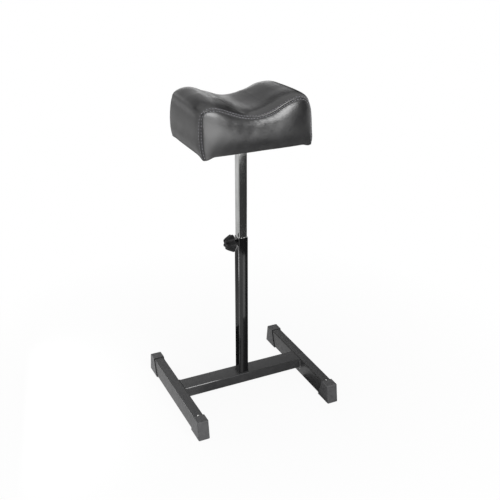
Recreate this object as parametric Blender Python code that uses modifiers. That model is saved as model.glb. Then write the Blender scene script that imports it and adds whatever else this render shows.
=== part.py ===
"""Pedicure footrest: a hollowed leg cushion on a telescopic post with an H-shaped floor base.

Every piece has its real size in metres, +Z up. The origin is on the floor at the middle of the base.
X runs along the crossbar, Y along the two legs. The resting leg lies along Y in the cushion's hollow.
"""

from math import cos, pi, sin

import bmesh
import bpy
import numpy as np
from mathutils import Matrix, Vector

# Fits shared by every piece
SEAT_GAP = 0.0003
SLIDE_CLEARANCE = 0.0003
HOLE_EASE = 0.0003
OVERRUN = 0.004
ROOM_LENGTH = 0.016
WELD_LEG = 0.0026
WELD_CREST = 0.0006

# Floor base
LEG_SPACING = 0.355
BASE_DEPTH = 0.356
TUBE_BROAD = 0.045
TUBE_NARROW = 0.025
CROSSBAR_HEIGHT = 0.0275
TUBE_WALL = 0.0015
TUBE_CORNER = 0.0025

# Moulded end caps
CAP_FLOOR = 0.002
CAP_WALL = 0.0018
CAP_END_WALL = 0.003
CAP_FOOT_REACH = 0.052
CAP_TOP_REACH = 0.034
CAP_DRAFT = 0.007
CAP_EDGE = 0.0012
TONGUE_WIDTH = 0.018
TONGUE_DEPTH = 0.006
TONGUE_REACH = 0.046
RIVET_INSET = 0.0374
RIVET_SHANK_RADIUS = 0.0016
RIVET_HEAD_RADIUS = 0.0028
RIVET_DOME = 0.0016
RIVET_GRIP = 0.005

# Posts
POST_SETBACK = 0.007
OUTER_SIDE = 0.025
OUTER_WALL = 0.0012
OUTER_CORNER = 0.002
OUTER_LENGTH = 0.3854
INNER_WALL = 0.0015
INSERTION = 0.11
EXTENSION = 0.2392
PLUG_FLANGE = 0.002
PLUG_BODY = 0.014

# Clamp
KNOB_DROP = 0.014
THREAD_RADIUS = 0.004
NUT_FLATS = 0.013
NUT_THICKNESS = 0.0065
PAD_RADIUS = 0.0037
PAD_THICKNESS = 0.003
PAD_EDGE = 0.0005
KNOB_LOBES = 5
KNOB_TURN = 0.094
KNOB_RADIUS = 0.0214
KNOB_SCALLOP = 0.0053
KNOB_THICKNESS = 0.015
KNOB_EDGE = 0.0022
HUB_RADIUS = 0.0085
HUB_LENGTH = 0.0015
NUT_STAND_OFF = 0.0009
STUD_SINK = 0.011
STUD_TIP = 0.0012

# Plate and fasteners under the cushion
PLATE_LENGTH = 0.12
PLATE_DEPTH = 0.09
PLATE_THICKNESS = 0.003
PLATE_CORNER = 0.008
BOLT_SPACING_X = 0.09
BOLT_SPACING_Y = 0.06
BOLT_RADIUS = 0.003
BOLT_HEAD_RADIUS = 0.006
BOLT_HEAD_HEIGHT = 0.0035
BOLT_CREST_RADIUS = 0.0045
TEE_BARREL_RADIUS = 0.004
TEE_BARREL_LENGTH = 0.009
TEE_FLANGE_RADIUS = 0.009
TEE_FLANGE = 0.0012

# Cushion
CUSHION_LENGTH = 0.268
CUSHION_DEPTH = 0.191
WAIST_HEIGHT = 0.045
VALLEY_X = -0.004
VALLEY_HEIGHT = 0.0735
LEFT_CREST_X = -0.106
LEFT_CREST_HEIGHT = 0.1
RIGHT_CREST_X = 0.111
RIGHT_CREST_HEIGHT = 0.105
CROWN = 0.012
SIDE_BULGE = 0.003
PANEL_BULGE = 0.009
TOP_DRAW_X = 0.003
TOP_DRAW_Y = 0.008
EAR_DROP = 0.0028
LEATHER = 0.0012
FOAM_GAP = 0.0009
HEM_TURN = 0.005
HEM_DEPTH = 0.025
HEM_MITRE = 0.001
BOARD_THICKNESS = 0.012
BOARD_EASE = 0.0009
BOARD_CORNER = 0.004
DUST_CLOTH = 0.0006
DUST_INSET = 0.016
DUST_CORNER = 0.006

# Exponents of the cushion's form and facet counts
SHOULDER_POWER = 10
WAVE_POWER = 1.2
CROWN_POWER = 3
BULGE_POWER = 4
EAR_POWER = 3
SCALLOP_POWER = 2.1
CORNER_STEPS = 4
ROUND_STEPS = 16
SMALL_STEPS = 12
NUT_SIDES = 6
EDGE_STEPS = 2
EDGE_ANGLE = 0.7
DOME_SHARES = (0.35, 0.7, 1.0)
LOBE_STEPS = 8
COLUMNS = 24
ROWS = 8
LEVELS = 6
MERGE = 0.000001

# Places worked out from the sizes
leg_x = LEG_SPACING / 2
cap_end_y = BASE_DEPTH / 2
tube_bottom = CAP_FLOOR + SEAT_GAP
tube_top = tube_bottom + TUBE_BROAD
tube_end_y = cap_end_y - CAP_DRAFT - CAP_END_WALL - SEAT_GAP
crossbar_end_x = leg_x - TUBE_NARROW / 2 - SEAT_GAP
crossbar_z = tube_top - CROSSBAR_HEIGHT / 2
post_y = -POST_SETBACK
outer_bottom = tube_top + SEAT_GAP
outer_top = outer_bottom + OUTER_LENGTH
bore_side = OUTER_SIDE - 2 * OUTER_WALL
inner_side = bore_side - 2 * SLIDE_CLEARANCE
inner_corner = OUTER_CORNER - OUTER_WALL + 2 * SLIDE_CLEARANCE
inner_bottom = outer_top - INSERTION
plate_bottom = outer_top + EXTENSION
plate_top = plate_bottom + PLATE_THICKNESS
inner_top = plate_bottom - SEAT_GAP
dust_bottom = plate_top + SEAT_GAP
underside = dust_bottom + DUST_CLOTH + SEAT_GAP
board_bottom = underside + LEATHER + SEAT_GAP
board_top = board_bottom + BOARD_THICKNESS
foam_bottom = board_top + SEAT_GAP
clamp_z = outer_top - KNOB_DROP
clamp_hole_radius = PAD_RADIUS + 2 * HOLE_EASE
outer_face_x = OUTER_SIDE / 2
nut_inner_x = outer_face_x + SEAT_GAP
nut_outer_x = nut_inner_x + NUT_THICKNESS
pad_tip_x = inner_side / 2 + SEAT_GAP
stud_tip_x = pad_tip_x + PAD_THICKNESS + SEAT_GAP
hub_tip_x = nut_outer_x + NUT_STAND_OFF
star_back_x = hub_tip_x + HUB_LENGTH
stud_end_x = star_back_x + STUD_SINK
bolt_places = [
    (side_x * BOLT_SPACING_X / 2, side_y * BOLT_SPACING_Y / 2)
    for side_x in (-1, 1)
    for side_y in (-1, 1)
]

part_collection = bpy.data.collections.new("pedicure_footrest")
cutter_collection = bpy.data.collections.new("cutters")


def clear_scene():
    """Remove what the scene holds and link the two collections."""
    for thing in list(bpy.data.objects):
        bpy.data.objects.remove(thing, do_unlink=True)
    bpy.context.scene.collection.children.link(part_collection)
    bpy.context.scene.collection.children.link(cutter_collection)


def finish(name, colour, roughness, metallic):
    """A Principled material."""
    material = bpy.data.materials.new(name)
    material.use_nodes = True
    shader = material.node_tree.nodes["Principled BSDF"]
    shader.inputs["Base Color"].default_value = (*colour, 1)
    shader.inputs["Roughness"].default_value = roughness
    shader.inputs["Metallic"].default_value = metallic
    material.diffuse_color = (*colour, 1)
    return material


def gloss_paint(name):
    return finish(name + "_paint", (0.012, 0.012, 0.013), 0.16, 0.0)


def satin_paint(name):
    return finish(name + "_paint", (0.045, 0.045, 0.047), 0.42, 0.0)


def black_plastic(name):
    return finish(name + "_plastic", (0.05, 0.05, 0.052), 0.55, 0.0)


def chrome_plate(name):
    return finish(name + "_chrome", (0.72, 0.73, 0.72), 0.08, 1.0)


def zinc_steel(name):
    return finish(name + "_zinc", (0.62, 0.62, 0.6), 0.35, 1.0)


def black_leather(name):
    return finish(name + "_leather", (0.03, 0.03, 0.032), 0.38, 0.0)


def bare_axis(name, location):
    """An empty on a joint's axis, which carries the pieces that move about it."""
    axis = bpy.data.objects.new(name, None)
    axis.location = location
    part_collection.objects.link(axis)
    return axis


def add_piece(name, mesh, material, location=(0, 0, 0), turn=None, carrier=None):
    """One named sub-part. The location is in the world, also under a carrier."""
    mesh.name = name
    piece = bpy.data.objects.new(name, mesh)
    part_collection.objects.link(piece)
    mesh.materials.append(material)
    base = Matrix.Translation(location)
    if turn is not None:
        base = base @ turn
    if carrier is not None:
        piece.parent = carrier
        base = Matrix.Translation(carrier.location).inverted() @ base
    piece.matrix_basis = base
    return piece


def add_cutter(name, mesh, location=(0, 0, 0), turn=None):
    """A guide shape for a Boolean, hidden from the render."""
    mesh.name = name
    cutter = bpy.data.objects.new(name, mesh)
    cutter_collection.objects.link(cutter)
    base = Matrix.Translation(location)
    cutter.matrix_basis = base if turn is None else base @ turn
    cutter.hide_render = True
    cutter.display_type = "WIRE"
    return cutter


def cut(piece, cutter, operation="DIFFERENCE"):
    """A Boolean that stays on the piece."""
    modifier = piece.modifiers.new(cutter.name, "BOOLEAN")
    modifier.operation = operation
    modifier.solver = "EXACT"
    modifier.object = cutter


def soften(piece, width):
    """Round the sharp edges."""
    modifier = piece.modifiers.new("edge_round", "BEVEL")
    modifier.width = width
    modifier.segments = EDGE_STEPS
    modifier.limit_method = "ANGLE"
    modifier.angle_limit = EDGE_ANGLE


def shade_round(mesh):
    mesh.shade_smooth()
    mesh.set_sharp_from_angle(angle=pi / 6)


def rounded_rectangle(width, height, radius):
    """Outline of a rectangle with round corners, anticlockwise from the lower right corner."""
    points = []
    for corner in range(4):
        side_x = 1 if corner in (0, 1) else -1
        side_y = 1 if corner in (1, 2) else -1
        middle_x = side_x * (width / 2 - radius)
        middle_y = side_y * (height / 2 - radius)
        for step in range(CORNER_STEPS + 1):
            angle = (corner - 1 + step / CORNER_STEPS) * pi / 2
            points.append((middle_x + radius * cos(angle), middle_y + radius * sin(angle)))
    return points


def circle(radius, steps=ROUND_STEPS, middle=(0, 0), start=0.0):
    """Outline of a regular polygon on a circle."""
    angles = [start + 2 * pi * step / steps for step in range(steps)]
    return [(middle[0] + radius * cos(angle), middle[1] + radius * sin(angle)) for angle in angles]


def weld_faces(mesh):
    """Join the loose caps and sides that share points, and turn every face outwards."""
    shape = bmesh.new()
    shape.from_mesh(mesh)
    bmesh.ops.remove_doubles(shape, verts=shape.verts, dist=MERGE)
    bmesh.ops.recalc_face_normals(shape, faces=shape.faces)
    shape.to_mesh(mesh)
    shape.free()


def evaluated_mesh(holder):
    """The mesh of a helper object as its modifiers or its curve make it. The helper is removed."""
    bpy.context.scene.collection.objects.link(holder)
    bpy.context.view_layer.update()
    graph = bpy.context.evaluated_depsgraph_get()
    mesh = bpy.data.meshes.new_from_object(holder.evaluated_get(graph))
    bpy.data.objects.remove(holder)
    return mesh


def section_mesh(outlines, length):
    """A straight bar along local Z, centred, from flat outlines. An outline inside another is a hole."""
    outline_curve = bpy.data.curves.new("outline", "CURVE")
    outline_curve.dimensions = "2D"
    outline_curve.fill_mode = "BOTH"
    outline_curve.extrude = length / 2
    for outline in outlines:
        spline = outline_curve.splines.new("POLY")
        spline.points.add(len(outline) - 1)
        for point, (across, up) in zip(spline.points, outline):
            point.co = (across, up, 0, 1)
        spline.use_cyclic_u = True
    mesh = evaluated_mesh(bpy.data.objects.new("outline", outline_curve))
    weld_faces(mesh)
    shade_round(mesh)
    return mesh


def turned_mesh(profile, steps=ROUND_STEPS, closed=False):
    """A body turned about local Z from (radius, height) points that run down its outer side."""
    points = [(radius, 0, height) for radius, height in profile]
    edges = [(index, index + 1) for index in range(len(points) - 1)]
    if closed:
        edges.append((len(points) - 1, 0))
    profile_mesh = bpy.data.meshes.new("profile")
    profile_mesh.from_pydata(points, edges, [])
    holder = bpy.data.objects.new("profile", profile_mesh)
    screw = holder.modifiers.new("turn", "SCREW")
    screw.steps = steps
    screw.render_steps = steps
    screw.use_merge_vertices = True
    screw.merge_threshold = MERGE
    mesh = evaluated_mesh(holder)
    weld_faces(mesh)
    shade_round(mesh)
    return mesh


def block_mesh(length, depth, height):
    """A centred box with its scale in its mesh."""
    shape = bmesh.new()
    bmesh.ops.create_cube(shape, size=1)
    bmesh.ops.scale(shape, vec=(length, depth, height), verts=shape.verts)
    mesh = bpy.data.meshes.new("block")
    shape.to_mesh(mesh)
    shape.free()
    return mesh


def frustum_mesh(foot_x, foot_y, crest_x, crest_y, height):
    """A four-sided frustum standing on local z = 0, for a fillet bead."""
    shape = bmesh.new()
    bmesh.ops.create_cube(shape, size=1)
    for vertex in shape.verts:
        on_top = vertex.co.z > 0
        vertex.co.x *= crest_x if on_top else foot_x
        vertex.co.y *= crest_y if on_top else foot_y
        vertex.co.z = height if on_top else 0
    mesh = bpy.data.meshes.new("frustum")
    shape.to_mesh(mesh)
    shape.free()
    return mesh


def repeated_mesh(mesh, places):
    """Copies of one mesh at (x, y, z) places, as separate solids in one mesh."""
    shape = bmesh.new()
    for place in places:
        first = len(shape.verts)
        shape.from_mesh(mesh)
        shape.verts.ensure_lookup_table()
        bmesh.ops.translate(shape, vec=place, verts=shape.verts[first:])
    joined = bpy.data.meshes.new("repeated")
    shape.to_mesh(joined)
    shape.free()
    shade_round(joined)
    return joined


along_x = Matrix.Rotation(pi / 2, 4, "Y")
along_minus_x = Matrix.Rotation(-pi / 2, 4, "Y")
along_y = Matrix.Rotation(-pi / 2, 4, "X")


def rectangular_tube(across, up):
    """Outline pair of the base tube, with its bore."""
    outer = rounded_rectangle(across, up, TUBE_CORNER)
    inner_radius = TUBE_CORNER - TUBE_WALL
    inner = rounded_rectangle(across - 2 * TUBE_WALL, up - 2 * TUBE_WALL, inner_radius)
    return [outer, inner]


def make_legs():
    """Two tubes on edge along Y, each with a rivet hole in its top wall at the front."""
    for side, name in ((-1, "leg_left_tube"), (1, "leg_right_tube")):
        mesh = section_mesh(rectangular_tube(TUBE_NARROW, TUBE_BROAD), 2 * tube_end_y)
        place = (side * leg_x, 0, tube_bottom + TUBE_BROAD / 2)
        leg = add_piece(name, mesh, satin_paint(name), place, along_y)
        hole = section_mesh([circle(RIVET_SHANK_RADIUS + HOLE_EASE)], TUBE_WALL + OVERRUN)
        rivet_place = (side * leg_x, RIVET_INSET - cap_end_y, tube_top)
        cut(leg, add_cutter(name + "_hole", hole, rivet_place))


def make_crossbar():
    """The tube lying flat between the legs, its top flush with theirs, and its two end beads."""
    mesh = section_mesh(rectangular_tube(CROSSBAR_HEIGHT, TUBE_BROAD), 2 * crossbar_end_x)
    name = "crossbar_tube"
    add_piece(name, mesh, satin_paint(name), (0, 0, crossbar_z), along_x)
    clear_depth = TUBE_BROAD + 2 * SEAT_GAP
    clear_height = CROSSBAR_HEIGHT + 2 * SEAT_GAP
    clear_corner = TUBE_CORNER + SEAT_GAP
    for side, word in ((-1, "left"), (1, "right")):
        name = "crossbar_weld_" + word
        mesh = frustum_mesh(
            clear_height + 2 * WELD_LEG,
            clear_depth + 2 * WELD_LEG,
            clear_height + 2 * WELD_CREST,
            clear_depth + 2 * WELD_CREST,
            WELD_LEG,
        )
        turn = along_x if side < 0 else along_minus_x
        weld = add_piece(name, mesh, satin_paint(name), (side * crossbar_end_x, 0, crossbar_z), turn)
        room = section_mesh([rounded_rectangle(clear_height, clear_depth, clear_corner)], ROOM_LENGTH)
        cut(weld, add_cutter(name + "_room", room, (side * crossbar_end_x, 0, crossbar_z), turn))
        above = block_mesh(ROOM_LENGTH, clear_depth + ROOM_LENGTH, 2 * OVERRUN)
        above_z = tube_top - TUBE_CORNER + OVERRUN
        cut(weld, add_cutter(name + "_flush", above, (side * crossbar_end_x, 0, above_z)))


def cap_outline():
    """Side view of a cap: (distance in from the outer end, height)."""
    height = tube_top + SEAT_GAP + CAP_WALL
    return [(0, 0), (CAP_FOOT_REACH, 0), (CAP_TOP_REACH, height), (CAP_DRAFT, height)]


def make_caps():
    """Four boots with sloping ends, hollow for the tube, with a tongue inside the tube's bore."""
    width = TUBE_NARROW + 2 * SEAT_GAP + 2 * CAP_WALL
    pocket_height = TUBE_BROAD + 2 * SEAT_GAP
    pocket_end = CAP_DRAFT + CAP_END_WALL
    pocket_length = CAP_FOOT_REACH + OVERRUN - pocket_end
    tongue_top = tube_top - TUBE_WALL - SEAT_GAP
    rivet_hole_radius = RIVET_SHANK_RADIUS + HOLE_EASE
    for end_y, end_word in ((-1, "front"), (1, "rear")):
        for side, side_word in ((-1, "left"), (1, "right")):
            name = "cap_" + end_word + "_" + side_word
            mesh = section_mesh([cap_outline()], width)
            # Local X runs inwards from the outer end, local Y runs up and local Z runs across.
            turn = Matrix.Rotation(pi / 2 * (1 if end_y < 0 else -1), 4, "Z") @ Matrix.Rotation(pi / 2, 4, "X")
            origin = (side * leg_x, end_y * cap_end_y, 0)
            cap = add_piece(name, mesh, black_plastic(name), origin, turn)
            soften(cap, CAP_EDGE)
            pocket = block_mesh(pocket_length, pocket_height, TUBE_NARROW + 2 * SEAT_GAP)
            frame = Matrix.Translation(origin) @ turn
            pocket_place = frame @ Matrix.Translation(
                (pocket_end + pocket_length / 2, CAP_FLOOR + pocket_height / 2, 0)
            )
            pocket_cutter = add_cutter(name + "_pocket", pocket)
            pocket_cutter.matrix_basis = pocket_place
            cut(cap, pocket_cutter)
            tongue_length = TONGUE_REACH - pocket_end + CAP_END_WALL / 2
            tongue = block_mesh(tongue_length, TONGUE_DEPTH, TONGUE_WIDTH)
            tongue_guide = add_cutter(name + "_tongue", tongue)
            tongue_guide.matrix_basis = frame @ Matrix.Translation(
                (TONGUE_REACH - tongue_length / 2, tongue_top - TONGUE_DEPTH / 2, 0)
            )
            cut(cap, tongue_guide, "UNION")
            if end_y < 0:
                hole = section_mesh([circle(rivet_hole_radius)], TONGUE_DEPTH + OVERRUN)
                hole_place = (side * leg_x, RIVET_INSET - cap_end_y, tongue_top - TONGUE_DEPTH / 2)
                cut(cap, add_cutter(name + "_rivet_hole", hole, hole_place))


def make_rivets():
    """Dome heads on the legs' tops, just inside the front caps."""
    head_bottom = SEAT_GAP
    profile = [(0, head_bottom + RIVET_DOME)]
    for share in DOME_SHARES:
        angle = share * pi / 2
        profile.append((RIVET_HEAD_RADIUS * sin(angle), head_bottom + RIVET_DOME * cos(angle)))
    profile += [(RIVET_SHANK_RADIUS, head_bottom), (RIVET_SHANK_RADIUS, -RIVET_GRIP), (0, -RIVET_GRIP)]
    for side, word in ((-1, "left"), (1, "right")):
        name = "cap_rivet_" + word
        place = (side * leg_x, RIVET_INSET - cap_end_y, tube_top)
        add_piece(name, turned_mesh(profile, SMALL_STEPS), zinc_steel(name), place)


def square_tube(side, wall, corner):
    """Outline pair of a post."""
    bore_corner = max(corner - wall, wall / 2)
    return [
        rounded_rectangle(side, side, corner),
        rounded_rectangle(side - 2 * wall, side - 2 * wall, bore_corner),
    ]


def make_outer_post():
    """The outer post with its clamp hole, the bead round its foot and the welded nut."""
    name = "outer_post_tube"
    mesh = section_mesh(square_tube(OUTER_SIDE, OUTER_WALL, OUTER_CORNER), OUTER_LENGTH)
    post = add_piece(name, mesh, gloss_paint(name), (0, post_y, outer_bottom + OUTER_LENGTH / 2))
    hole = section_mesh([circle(clamp_hole_radius)], OUTER_WALL + OVERRUN)
    cut(post, add_cutter("clamp_hole", hole, (-outer_face_x, post_y, clamp_z), along_x))

    name = "post_foot_weld"
    clear = OUTER_SIDE + 2 * SEAT_GAP
    foot = clear + 2 * WELD_LEG
    crest = clear + 2 * WELD_CREST
    weld = add_piece(
        name,
        frustum_mesh(foot, foot, crest, crest, WELD_LEG),
        gloss_paint(name),
        (0, post_y, outer_bottom),
    )
    room = section_mesh([rounded_rectangle(clear, clear, OUTER_CORNER + SEAT_GAP)], ROOM_LENGTH)
    cut(weld, add_cutter(name + "_room", room, (0, post_y, outer_bottom)))

    name = "weld_nut"
    flats_outline = circle(NUT_FLATS / 2 / cos(pi / NUT_SIDES), NUT_SIDES, start=pi / NUT_SIDES)
    bore_radius = THREAD_RADIUS + HOLE_EASE
    mesh = section_mesh([flats_outline, circle(bore_radius)], NUT_THICKNESS)
    nut_place = (-nut_inner_x - NUT_THICKNESS / 2, post_y, clamp_z)
    add_piece(name, mesh, gloss_paint(name), nut_place, along_x)


def make_clamp(pad_axis, knob_axis):
    """The thrust pad, and the star knob with its stud."""
    name = "clamp_pad"
    profile = [
        (0, PAD_THICKNESS),
        (PAD_RADIUS - PAD_EDGE, PAD_THICKNESS),
        (PAD_RADIUS, PAD_THICKNESS - PAD_EDGE),
        (PAD_RADIUS, 0),
        (0, 0),
    ]
    mesh = turned_mesh(profile)
    pad_place = (-pad_tip_x - PAD_THICKNESS, post_y, clamp_z)
    add_piece(name, mesh, finish(name + "_nylon", (0.75, 0.73, 0.68), 0.5, 0.0), pad_place, along_x, pad_axis)

    name = "star_knob"
    outline = []
    for step in range(KNOB_LOBES * LOBE_STEPS):
        angle = 2 * pi * step / (KNOB_LOBES * LOBE_STEPS)
        dip = abs(sin(KNOB_LOBES * angle / 2)) ** SCALLOP_POWER
        radius = KNOB_RADIUS - KNOB_SCALLOP * dip
        outline.append((radius * cos(angle + KNOB_TURN), radius * sin(angle + KNOB_TURN)))
    mesh = section_mesh([outline], KNOB_THICKNESS)
    star_place = (-star_back_x - KNOB_THICKNESS / 2, post_y, clamp_z)
    star = add_piece(name, mesh, black_plastic(name), star_place, along_minus_x, knob_axis)
    soften(star, KNOB_EDGE)
    hub_length = HUB_LENGTH + KNOB_THICKNESS / 2
    hub = section_mesh([circle(HUB_RADIUS)], hub_length)
    hub_place = (-hub_tip_x - hub_length / 2, post_y, clamp_z)
    cut(star, add_cutter("knob_hub", hub, hub_place, along_x), "UNION")
    bore_length = stud_end_x + SEAT_GAP - hub_tip_x + OVERRUN
    bore = section_mesh([circle(THREAD_RADIUS + HOLE_EASE)], bore_length)
    bore_place = (-stud_end_x - SEAT_GAP + bore_length / 2, post_y, clamp_z)
    cut(star, add_cutter("knob_bore", bore, bore_place, along_x))

    name = "knob_stud"
    length = stud_end_x - stud_tip_x
    profile = [
        (0, length),
        (THREAD_RADIUS - STUD_TIP, length),
        (THREAD_RADIUS, length - STUD_TIP),
        (THREAD_RADIUS, 0),
        (0, 0),
    ]
    stud_place = (-stud_end_x, post_y, clamp_z)
    add_piece(name, turned_mesh(profile), zinc_steel(name), stud_place, along_x, knob_axis)


def make_inner_post(slide_axis):
    """The inner post, its lower end plug, the plate under the cushion and the bead between them."""
    name = "inner_post_tube"
    length = inner_top - inner_bottom
    mesh = section_mesh(square_tube(inner_side, INNER_WALL, inner_corner), length)
    place = (0, post_y, inner_bottom + length / 2)
    add_piece(name, mesh, chrome_plate(name), place, None, slide_axis)

    name = "inner_post_plug"
    flange = section_mesh([rounded_rectangle(inner_side, inner_side, inner_corner)], PLUG_FLANGE)
    flange_z = inner_bottom - SEAT_GAP - PLUG_FLANGE / 2
    plug = add_piece(name, flange, black_plastic(name), (0, post_y, flange_z), None, slide_axis)
    body_side = inner_side - 2 * INNER_WALL - 2 * SEAT_GAP
    body_length = PLUG_BODY + PLUG_FLANGE / 2
    body = section_mesh([rounded_rectangle(body_side, body_side, INNER_WALL)], body_length)
    body_z = flange_z + body_length / 2
    cut(plug, add_cutter("plug_body", body, (0, post_y, body_z)), "UNION")

    name = "mounting_plate"
    outlines = [rounded_rectangle(PLATE_LENGTH, PLATE_DEPTH, PLATE_CORNER)]
    outlines += [circle(BOLT_RADIUS + HOLE_EASE, SMALL_STEPS, middle) for middle in bolt_places]
    mesh = section_mesh(outlines, PLATE_THICKNESS)
    place = (0, post_y, plate_bottom + PLATE_THICKNESS / 2)
    add_piece(name, mesh, satin_paint(name), place, None, slide_axis)

    name = "plate_weld"
    clear = inner_side + 2 * SEAT_GAP
    foot = clear + 2 * WELD_LEG
    crest = clear + 2 * WELD_CREST
    weld_z = plate_bottom - SEAT_GAP
    turn = Matrix.Rotation(pi, 4, "X")
    mesh = frustum_mesh(foot, foot, crest, crest, WELD_LEG)
    weld = add_piece(name, mesh, gloss_paint(name), (0, post_y, weld_z), turn, slide_axis)
    room = section_mesh([rounded_rectangle(clear, clear, inner_corner + SEAT_GAP)], ROOM_LENGTH)
    cut(weld, add_cutter(name + "_room", room, (0, post_y, weld_z)))


def make_plate_fasteners(slide_axis):
    """Four bolts from below and the tee nuts let into the board's top."""
    head_top = plate_bottom - SEAT_GAP
    shank_top = board_top - TEE_FLANGE
    bolt_profile = [
        (0, shank_top),
        (BOLT_RADIUS, shank_top),
        (BOLT_RADIUS, head_top),
        (BOLT_HEAD_RADIUS, head_top),
        (BOLT_HEAD_RADIUS, head_top - BOLT_HEAD_HEIGHT / 2),
        (BOLT_CREST_RADIUS, head_top - BOLT_HEAD_HEIGHT),
        (0, head_top - BOLT_HEAD_HEIGHT),
    ]
    bore = BOLT_RADIUS + HOLE_EASE
    flange_bottom = board_top - TEE_FLANGE
    nut_profile = [
        (bore, board_top),
        (TEE_FLANGE_RADIUS, board_top),
        (TEE_FLANGE_RADIUS, flange_bottom),
        (TEE_BARREL_RADIUS, flange_bottom),
        (TEE_BARREL_RADIUS, board_top - TEE_BARREL_LENGTH),
        (bore, board_top - TEE_BARREL_LENGTH),
    ]
    for number, (across, along) in enumerate(bolt_places, start=1):
        place = (across, post_y + along, 0)
        name = f"plate_bolt_{number}"
        add_piece(name, turned_mesh(bolt_profile, SMALL_STEPS), zinc_steel(name), place, None, slide_axis)
        name = f"tee_nut_{number}"
        mesh = turned_mesh(nut_profile, SMALL_STEPS, closed=True)
        add_piece(name, mesh, zinc_steel(name), place, None, slide_axis)


def waist_share(c):
    """How far up the drawn-in sides a level lies, from 0 at the underside to 1 at the top."""
    return (c + 1) / 2


def top_height(across, b):
    """Height of the top over the underside: a low valley between two crests, crowned along Y.

    Each flank is half a cosine wave, flatter near the valley, and stays level beyond its crest.
    """
    left = across < VALLEY_X
    reach = np.where(left, VALLEY_X - LEFT_CREST_X, RIGHT_CREST_X - VALLEY_X)
    crest = np.where(left, LEFT_CREST_HEIGHT, RIGHT_CREST_HEIGHT)
    share = np.clip(np.abs(across - VALLEY_X) / reach, 0, 1) ** WAVE_POWER
    wave = VALLEY_HEIGHT + (crest - VALLEY_HEIGHT) * (1 - np.cos(pi * share)) / 2
    return wave + CROWN * (1 - np.abs(b) ** CROWN_POWER)


def half_length(c, b):
    """Half of the cushion's length at a level, drawn in towards the top and bulged at the waist."""
    bulge = SIDE_BULGE * (1 - c**2) * (1 - b**2)
    return CUSHION_LENGTH / 2 - TOP_DRAW_X * waist_share(c) + bulge


def half_depth(c):
    """Half of the cushion's depth at the seams of a level."""
    return CUSHION_DEPTH / 2 - TOP_DRAW_Y * waist_share(c)


def cushion_skin(a, b, c):
    """Outer skin for cube coordinates a, b and c from -1 to 1 along X, Y and Z.

    The upper half of each X-Z section is pressed from a square into a superellipse, which rounds the
    shoulders. The end panels bulge between their seams and the lower corners hang like small ears.
    """
    a, b, c = (np.asarray(value, float) for value in (a, b, c))
    largest = np.maximum(np.abs(a), np.abs(c))
    norm = (np.abs(a) ** SHOULDER_POWER + np.abs(c) ** SHOULDER_POWER) ** (1 / SHOULDER_POWER)
    press = np.where(c > 0, largest / np.where(norm > 0, norm, 1), 1)
    round_a = a * press
    round_c = c * press
    x = round_a * half_length(round_c, b)
    upper = WAIST_HEIGHT + round_c * (top_height(x, b) - WAIST_HEIGHT)
    ear = EAR_DROP * np.abs(a * b) ** EAR_POWER * (1 - waist_share(c)) ** EAR_POWER
    z = np.where(c > 0, upper, WAIST_HEIGHT * (1 + c)) - ear
    face = np.where(np.abs(b) >= 1, np.sign(b), 0)
    bulge = PANEL_BULGE * (1 - np.abs(a) ** BULGE_POWER) * (1 - np.abs(c) ** BULGE_POWER)
    y = b * half_depth(round_c) + face * bulge
    return np.stack([x, y, z], axis=-1)


def eased(steps):
    """Crowd even steps from -1 to 1 towards both ends."""
    return np.sin(steps * pi / 2)


def put_points(shape, keys, points):
    """Move the vertices, whose grid keys are given, to their computed points."""
    for vertex, point in zip(shape.verts, points[keys]):
        vertex.co = point


def level_of(height):
    """The cube coordinate of a height below the waist."""
    return height / WAIST_HEIGHT - 1


def foam_level(steps):
    """The cube coordinates of the foam's rows, from the board up, for even steps from -1 to 1."""
    lowest = level_of(foam_bottom - underside)
    return lowest + (eased(steps) + 1) / 2 * (1 - lowest)


def make_foam(slide_axis):
    """The foam: the skin's form set in by the cover, and flat where it lies on the board."""
    shape = bmesh.new()
    bmesh.ops.create_cube(shape, size=2)
    for axis, count in ((0, COLUMNS), (1, ROWS), (2, LEVELS)):
        lines = [edge for edge in shape.edges if abs(edge.verts[0].co[axis] - edge.verts[1].co[axis]) > 1]
        bmesh.ops.subdivide_edges(shape, edges=lines, cuts=count - 1, use_grid_fill=True)
    cube = np.array([vertex.co[:] for vertex in shape.verts])
    skin = cushion_skin(cube[:, 0], eased(cube[:, 1]), foam_level(cube[:, 2]))
    put_points(shape, np.arange(len(cube)), skin)
    bmesh.ops.recalc_face_normals(shape, faces=shape.faces)
    shape.normal_update()
    setting_in = LEATHER + FOAM_GAP
    moves = [vertex.normal * -setting_in * vertex.calc_shell_factor() for vertex in shape.verts]
    for vertex, move, level in zip(shape.verts, moves, np.rint(cube[:, 2])):
        vertex.co += move
        if level < 0 and vertex.co.z < foam_bottom - underside + setting_in * 2:
            vertex.co.z = foam_bottom - underside
    mesh = bpy.data.meshes.new("foam")
    shape.to_mesh(mesh)
    shape.free()
    mesh.shade_smooth()
    name = "cushion_foam"
    foam = finish(name + "_finish", (0.8, 0.76, 0.6), 0.9, 0.0)
    add_piece(name, mesh, foam, (0, post_y, underside), None, slide_axis)


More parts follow.
